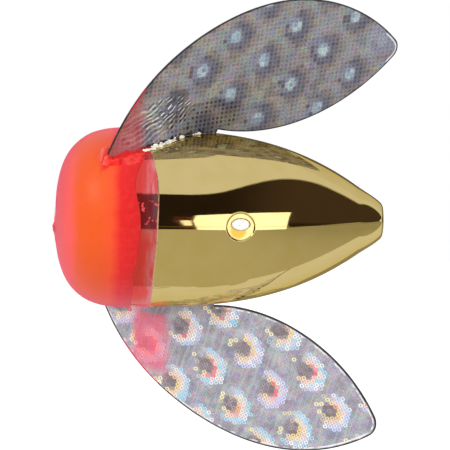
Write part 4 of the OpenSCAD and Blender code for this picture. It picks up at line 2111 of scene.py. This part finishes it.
@dataclass
class Studio:
    """Camera, pale floor, soft light and the cards that the plating mirrors."""

    yaw: float = -3.5
    roll: float = 0.77
    distance: float = 450.0
    field_width: float = 52.22
    shift_right: float = 0.673
    shift_down: float = 0.743
    floor_half: float = 3000.0
    floor_glow: float = 0.4
    table_half: float = 1500.0
    table_lift: float = 0.3
    table_span: Point2 = (5.0, 130.0)
    sky_light: float = 0.55

    def camera(self) -> None:
        """Sets the camera at the photograph's angle."""
        yaw, roll = math.radians(self.yaw), math.radians(self.roll)
        back = Vector((math.sin(yaw), -math.cos(yaw), 0))
        right = Vector((math.cos(yaw), math.sin(yaw), 0))
        up = Vector((0, 0, 1))
        side = math.cos(roll) * right + math.sin(roll) * up
        top = math.cos(roll) * up - math.sin(roll) * right
        data = bpy.data.cameras.new("camera")
        data.sensor_width = 36.0
        data.lens = data.sensor_width * self.distance / self.field_width
        data.clip_start, data.clip_end = 0.01, 20.0
        camera = put("camera", data)
        place = Vector(AIM) + back * self.distance + side * self.shift_right - top * self.shift_down
        turn = Matrix((side, top, back)).transposed().to_4x4()
        camera.matrix_world = Matrix.Translation(place * MM) @ turn
        bpy.context.scene.camera = camera

    def floor(self) -> None:
        """Lays a pale floor that shows white and keeps the object's shadow."""
        half = self.floor_half
        floor = flat_sheet("floor", (-half, -half), (half, half), FLOOR_Z)
        graph = Graph("pale_floor")
        grain = graph.noise(graph.place(), 0.02)
        dress(floor, graph.finish(
            Base_Color=graph.mix(grain, (0.82, 0.82, 0.82, 1), (0.86, 0.86, 0.86, 1)),
            Roughness=0.9,
            Specular_IOR_Level=0.0,
            Emission_Color=(1, 1, 1, 1),
            Emission_Strength=graph.times(graph.seen(), self.floor_glow),
        ))

    def table(self, name: str, near: float, far: float, light: Point2, colour: Colour) -> None:
        """Lays a sheet just over the floor, from near to far along Y, that only mirrors see."""
        low, high = (-self.table_half, near), (self.table_half, far)
        shine(flat_sheet(name, low, high, FLOOR_Z + self.table_lift), light, colour, self.table_span)

    def cards(self) -> None:
        """Puts up the cards and cloths that the plating mirrors."""
        self.table("front_table", -140.0, -2.5, (0.47, 0.32), OLIVE)
        self.table("back_table", -2.5, 36.0, (0.66, 0.66), GREY)
        self.table("far_table", 36.0, 900.0, (0.33, 0.33), GREY)
        cards = (
            Card("overhead_sheet", (-88, 88), (20, 20), (112, 112), (0.65, 0.65), distance=640.0),
            Card("back_wall", (-88, 88), (112, 112), (153, 153), (0.6, 0.6), distance=640.0),
            Card("far_wall", (-88, 88), (153, 153), (188, 188), (0.13, 0.13), distance=640.0),
            Card("key_card", (-50, -34), (25, 25), (58, 58), (3.0, 3.0), distance=620.0),
            Card("head_wall", (-89.5, -60), (-20, -20), (200, 200), (0.6, 0.6), distance=630.0),
            Card(
                "camera_cloth", (-80, 84), (-14.2, -14.2), (30.5, 30.5), (0.017, 0.053), DARK_CLOTH,
                lift=0.5, crest=59.0, span=(150.0, 430.0),
            ),
            Card(
                "cloth_hem", (8, 70), (20.0, 20.0), (31.5, 31.5), (0.3, 0.3), OLIVE,
                distance=604.0, crest=61.5,
            ),
            Card(
                "strip_light", (7.4, 39.4), (-14.4, -16.6), (3.6, 13.0), (1.5, 1.5),
                distance=480.0, lift=1.5, slant=(1.2, 2.0),
            ),
            Card(
                "warm_patch", (4.6, 9.0), (-13.6, -13.6), (2.0, 2.0), (0.07, 0.07), RUST,
                distance=520.0, lift=1.0,
            ),
            Card(
                "small_light", (5.3, 7.0), (-9.5, -9.5), (-3.0, -3.0), (1.2, 1.2),
                distance=470.0, lift=1.5, slant=(0.4, 0.7),
            ),
        )
        for card in cards:
            card.build()

    def lamps(self) -> None:
        """Lights the set softly and evenly."""
        lamps = (
            ("key_lamp", (-0.9, -1.0, 0.8), 50.0, 0.85),
            ("low_lamp", (-0.55, -0.85, 0.14), 25.0, 1.0),
            ("fill_lamp", (0.8, -1.0, 0.2), 60.0, 0.7),
            ("back_lamp", (0.1, 1.0, 0.8), 60.0, 0.8),
        )
        for name, place, spread, power in lamps:
            data = bpy.data.lights.new(name, "SUN")
            data.angle = math.radians(spread)
            data.energy = power
            lamp = put(name, data)
            lamp.rotation_mode = "QUATERNION"
            lamp.rotation_quaternion = (-Vector(place)).to_track_quat("-Z", "Y")
            lamp.visible_glossy = False

    def sky(self) -> None:
        """Sets a white sky for the camera and mirrors, and a plain soft light for the rest."""
        graph = Graph("studio", world=True)
        strength = graph.scaled(graph.seen(), 1 - self.sky_light, self.sky_light)
        inputs = {"Color": (1, 1, 1, 1), "Strength": strength}
        graph.end(graph.add("ShaderNodeBackground", inputs), "ShaderNodeOutputWorld")
        bpy.context.scene.world = graph.owner

    def build(self) -> None:
        """Sets up the whole studio."""
        bpy.context.scene.view_settings.view_transform = "Standard"
        self.camera()
        self.floor()
        self.cards()
        self.lamps()
        self.sky()


def main() -> None:
    """Builds the studio, the body, its coats and both wings."""
    logging.basicConfig(level=logging.INFO, format="%(name)s %(message)s")
    Studio().build()
    body = Body()
    body.build()
    HeadCoats(body).build()
    upper = Film(
        Wing.UPPER,
        dot=(12.8, 17.4), dot_steps=((3.95, -3.95), (4.43, 3.4)), ring_steps=((0.577, -0.04), (0.06, 0.536)),
        tint=srgb(196, 52, 46), tint_share=0.6, tint_end=(-2.6, -4.2),
        crease_centre=(-0.2, 13.5), hollow_shade_centre=(1.5, 15.3), speck_centre=(5.2, 11.6),
        worn_centre=(29.9, 16.4), red_edge=-2.3, red_above=14.9,
    )
    lower = Film(
        Wing.LOWER,
        dot=(14.5, 18.35), dot_steps=((4.7, -3.7), (3.45, 4.3)), ring_steps=((0.63, -0.2265), (-0.1, 0.546)),
        tint=srgb(250, 92, 124), tint_share=0.68, tint_start=(-4.0, -2.7), tint_end=(2.2, 0.0),
        tint_low=(12.4, 13.4), tint_high=(22.0, 19.0),
        worn_centre=(25.0, 22.6), red_edge=0.8, red_above=17.6,
    )
    WingLeaf(
        Wing.UPPER, body, upper,
        lead_centre=(13.65, 1.0), lead_radius=23.38,
        trail_centre=(16.0, 32.2), trail_radius=24.1, tip_radius=1.5, seed=5,
    ).build()
    WingLeaf(
        Wing.LOWER, body, lower,
        lead_centre=(13.0, 3.55), lead_radius=22.7,
        trail_centre=(12.2, 27.4), trail_radius=18.6, tip_radius=2.2, seed=9,
    ).build()


if __name__ == "__main__":
    main()
